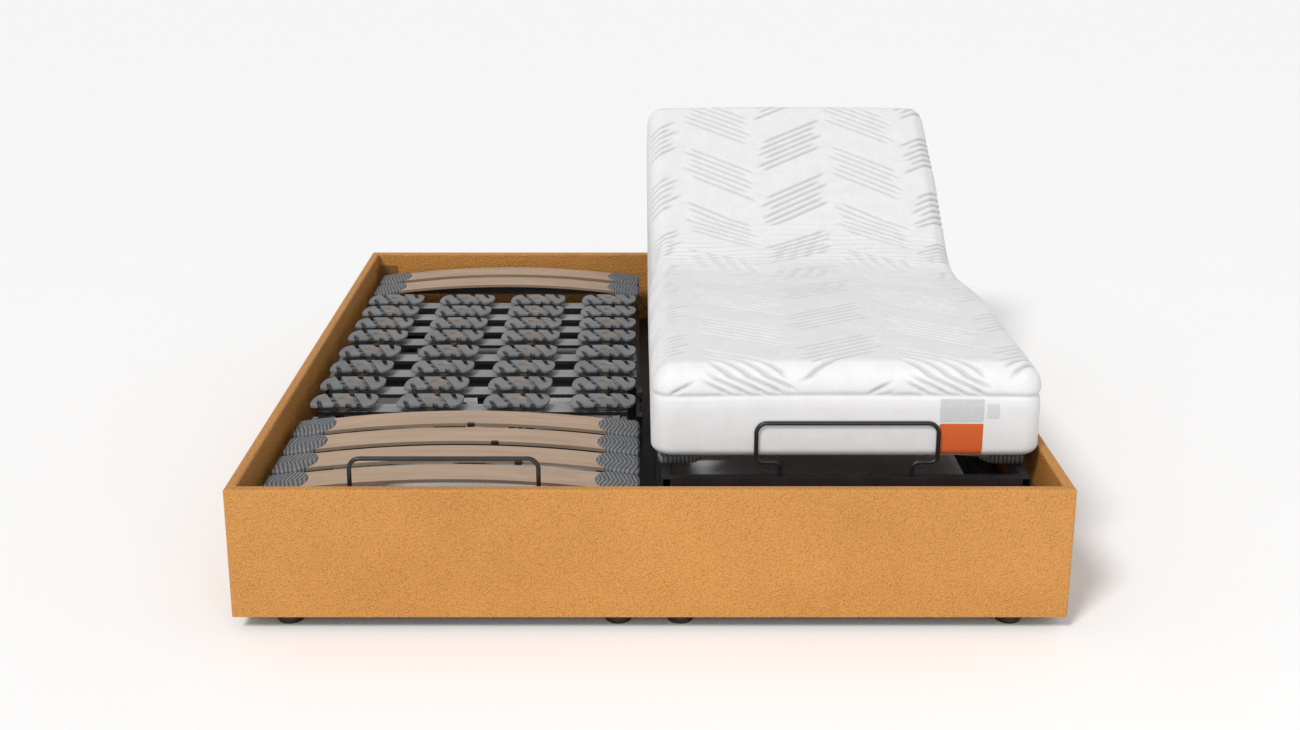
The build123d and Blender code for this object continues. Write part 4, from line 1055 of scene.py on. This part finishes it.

# %% [markdown]
# ## Rubber caps of the slats
# Each slat ends in a rubber cap: a tongue that is square at the rail and round towards the middle, with a
# top that follows the slat and a herringbone of ribs. A grid is extruded into a slab and its points are
# moved onto the tongue. The ribs are shallow, so a bump and painted shade in the rubber's tone draw them
# from the cap's own lengths, which are kept as attributes: the grooves between the ribs are painted darker.

# %% Rubber of the caps
RIB_PITCH = 0.0100
RIB_LEAN = 0.28
RIB_DEPTH = 0.0011
RIB_WANDER = 0.010
RUBBER_TONES = ((0.15, (0.034, 0.038, 0.042)), (0.5, (0.105, 0.111, 0.118)), (0.9, (0.215, 0.222, 0.230)))

rubber, tree, shader, coordinates = start_finish("ribbed_grey_rubber")
cap_run = add_node(tree, "ShaderNodeAttribute", attribute_name="cap_run").outputs["Fac"]
cap_across = add_node(tree, "ShaderNodeAttribute", attribute_name="cap_across").outputs["Fac"]
chevron = math(tree, "ADD", cap_run, math(tree, "MULTIPLY", math(tree, "ABSOLUTE", cap_across), RIB_LEAN))
wander = math(tree, "MULTIPLY", noise(tree, coordinates, 26.0, 2.0), RIB_WANDER)
rib_phase = math(tree, "MULTIPLY", math(tree, "ADD", chevron, wander), 2 * pi / RIB_PITCH)
ribs = math(tree, "MULTIPLY_ADD", math(tree, "SINE", rib_phase), 0.5)
scuffs = noise(tree, coordinates, 60.0, 5.0, 0.62)
# Painted shade: the rib wave darkens the grooves between the ribs. The scuffs are the rubber's own tone.
scuffs_and_rib_shade = math(tree, "ADD", math(tree, "MULTIPLY", ribs, 0.62), math(tree, "MULTIPLY", scuffs, 0.55))
tree.links.new(shades(tree, scuffs_and_rib_shade, RUBBER_TONES), shader.inputs["Base Color"])
tree.links.new(span(tree, scuffs, 0.55, 0.78), shader.inputs["Roughness"])
relief(tree, shader, ribs, RIB_DEPTH, 0.9)
print("rubber ribs are", round(RIB_PITCH * 1000, 1), "mm apart")

# %% Shape of a cap
SLAT_HALF_LENGTH = 0.425
SLAT_END_TOP = 0.279
SLAT_CROWN = {"left": 0.032, "right": 0.021}
SLAT_ROWS = {"back": (0.768, 0.893), "calf": (-0.855, -0.736, -0.617, -0.498)}
CAP_TOP_WALL = 0.004
CAP_HALF_WIDTH = 0.051
CAP_NOSE = 0.038
CAP_CORNER = 0.012
CAP_RIM = 0.007
CAP_RIM_DROP = 0.75
CAP_LENGTH = 0.104
CAP_OUTER = UNIT_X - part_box("left_calf_caps")[0].x
CAP_NOSE_START = CAP_OUTER - CAP_LENGTH + CAP_NOSE


def slat_top(distance, side):
    """Give the height of a slat's top at a distance from the unit's middle line."""
    return SLAT_END_TOP + SLAT_CROWN[side] * (1 - (distance / SLAT_HALF_LENGTH) ** 2)


def make_cap(side):
    """Make the cap on the left end of a slat, about the unit's middle line."""
    cap = bmesh.new()
    run = cap.verts.layers.float.new("cap_run")
    wide = cap.verts.layers.float.new("cap_across")
    bmesh.ops.create_grid(cap, x_segments=36, y_segments=30, size=1.0)
    raised = bmesh.ops.extrude_face_region(cap, geom=list(cap.faces), use_keep_orig=True)["geom"]
    top = {item for item in raised if isinstance(item, bmesh.types.BMVert)}
    for vertex in cap.verts:
        along = (vertex.co.x + 1) / 2
        across = vertex.co.y
        nose_end = CAP_NOSE_START - CAP_NOSE * (1 - across ** 2) ** 0.5
        into_corner = max(0.0, abs(across) * CAP_HALF_WIDTH - CAP_HALF_WIDTH + CAP_CORNER) / CAP_CORNER
        outer_end = CAP_OUTER - CAP_CORNER * (1 - (1 - min(1.0, into_corner) ** 2) ** 0.5)
        distance = nose_end + (outer_end - nose_end) * along
        inside = min((1 - abs(across)) * CAP_HALF_WIDTH, distance - nose_end, outer_end - distance)
        rim = max(0.0, 1 - inside / CAP_RIM) ** 2
        height = RAIL_TOP
        if vertex in top:
            height = slat_top(distance, side) + CAP_TOP_WALL - CAP_RIM * CAP_RIM_DROP * rim
        vertex[run] = distance
        vertex[wide] = across * CAP_HALF_WIDTH
        vertex.co = (-distance, across * CAP_HALF_WIDTH, height)
    bmesh.ops.recalc_face_normals(cap, faces=cap.faces)
    for face in cap.faces:
        face.smooth = face.normal.z > -0.5
    return cap


print("a cap is", round(CAP_LENGTH * 1000), "mm long")

# %% Caps on every slat
TAB_ROW = SLAT_ROWS["calf"][-1]
TAB_DISTANCES = (0.349, 0.392)
TAB_SIZE = (0.016, 0.022, 0.018)
TAB_BEVEL = 0.003
TAB_Y = TAB_ROW + CAP_HALF_WIDTH + 0.006
TAB_Z = RAIL_TOP + 0.013


def line_up_caps(side, rows):
    """Repeat the cap at both ends of each slat of a section."""
    pair = make_cap(side)
    whole_cap = pair.verts[:] + pair.edges[:] + pair.faces[:]
    bmesh.ops.mirror(pair, geom=whole_cap, axis="X", merge_dist=0.0)
    bmesh.ops.recalc_face_normals(pair, faces=pair.faces)
    lined_up = repeat(pair, [(UNIT_X, row) for row in rows])
    pair.free()
    return lined_up


for section, rows in SLAT_ROWS.items():
    for side in SIDES:
        caps = line_up_caps(side, rows)
        if TAB_ROW in rows:
            for distance in TAB_DISTANCES:
                for end in (-1, 1):
                    add_block(caps, (UNIT_X + end * distance, TAB_Y, TAB_Z), TAB_SIZE, TAB_BEVEL)
        place_on(side, f"{section}_rubber", caps, rubber, section, f"{section}_caps")
        caps.free()
print("caps on", sum(len(rows) for rows in SLAT_ROWS.values()), "slats of each unit")

# %% [markdown]
# ## Clips on the slats
# A small dark clip sits on the front edge of three calf slats, each a little nearer to the middle than
# the one before. They are moulded in plastic, so a small rounded block is enough.

# %% Clips
CLIP_OFFSETS = (0.148, 0.083, 0.014)
CLIP_SIZE = (0.017, 0.007, 0.011)
CLIP_DROP = 0.0035
CLIP_BEVEL = 0.0015
SLAT_FRONT = 0.0465

for side in SIDES:
    clips = bmesh.new()
    for row, offset in zip(SLAT_ROWS["calf"][1:], CLIP_OFFSETS):
        height = slat_top(offset, side) - CLIP_DROP
        add_block(clips, (UNIT_X + offset, row - SLAT_FRONT, height), CLIP_SIZE, CLIP_BEVEL)
    bmesh.ops.recalc_face_normals(clips, faces=clips.faces)
    place_on(side, "slat_clips", clips, foot_plastic, "calf")
    clips.free()
print("clips placed")

# %% [markdown]
# ## The end

# %% Finish
print("done")
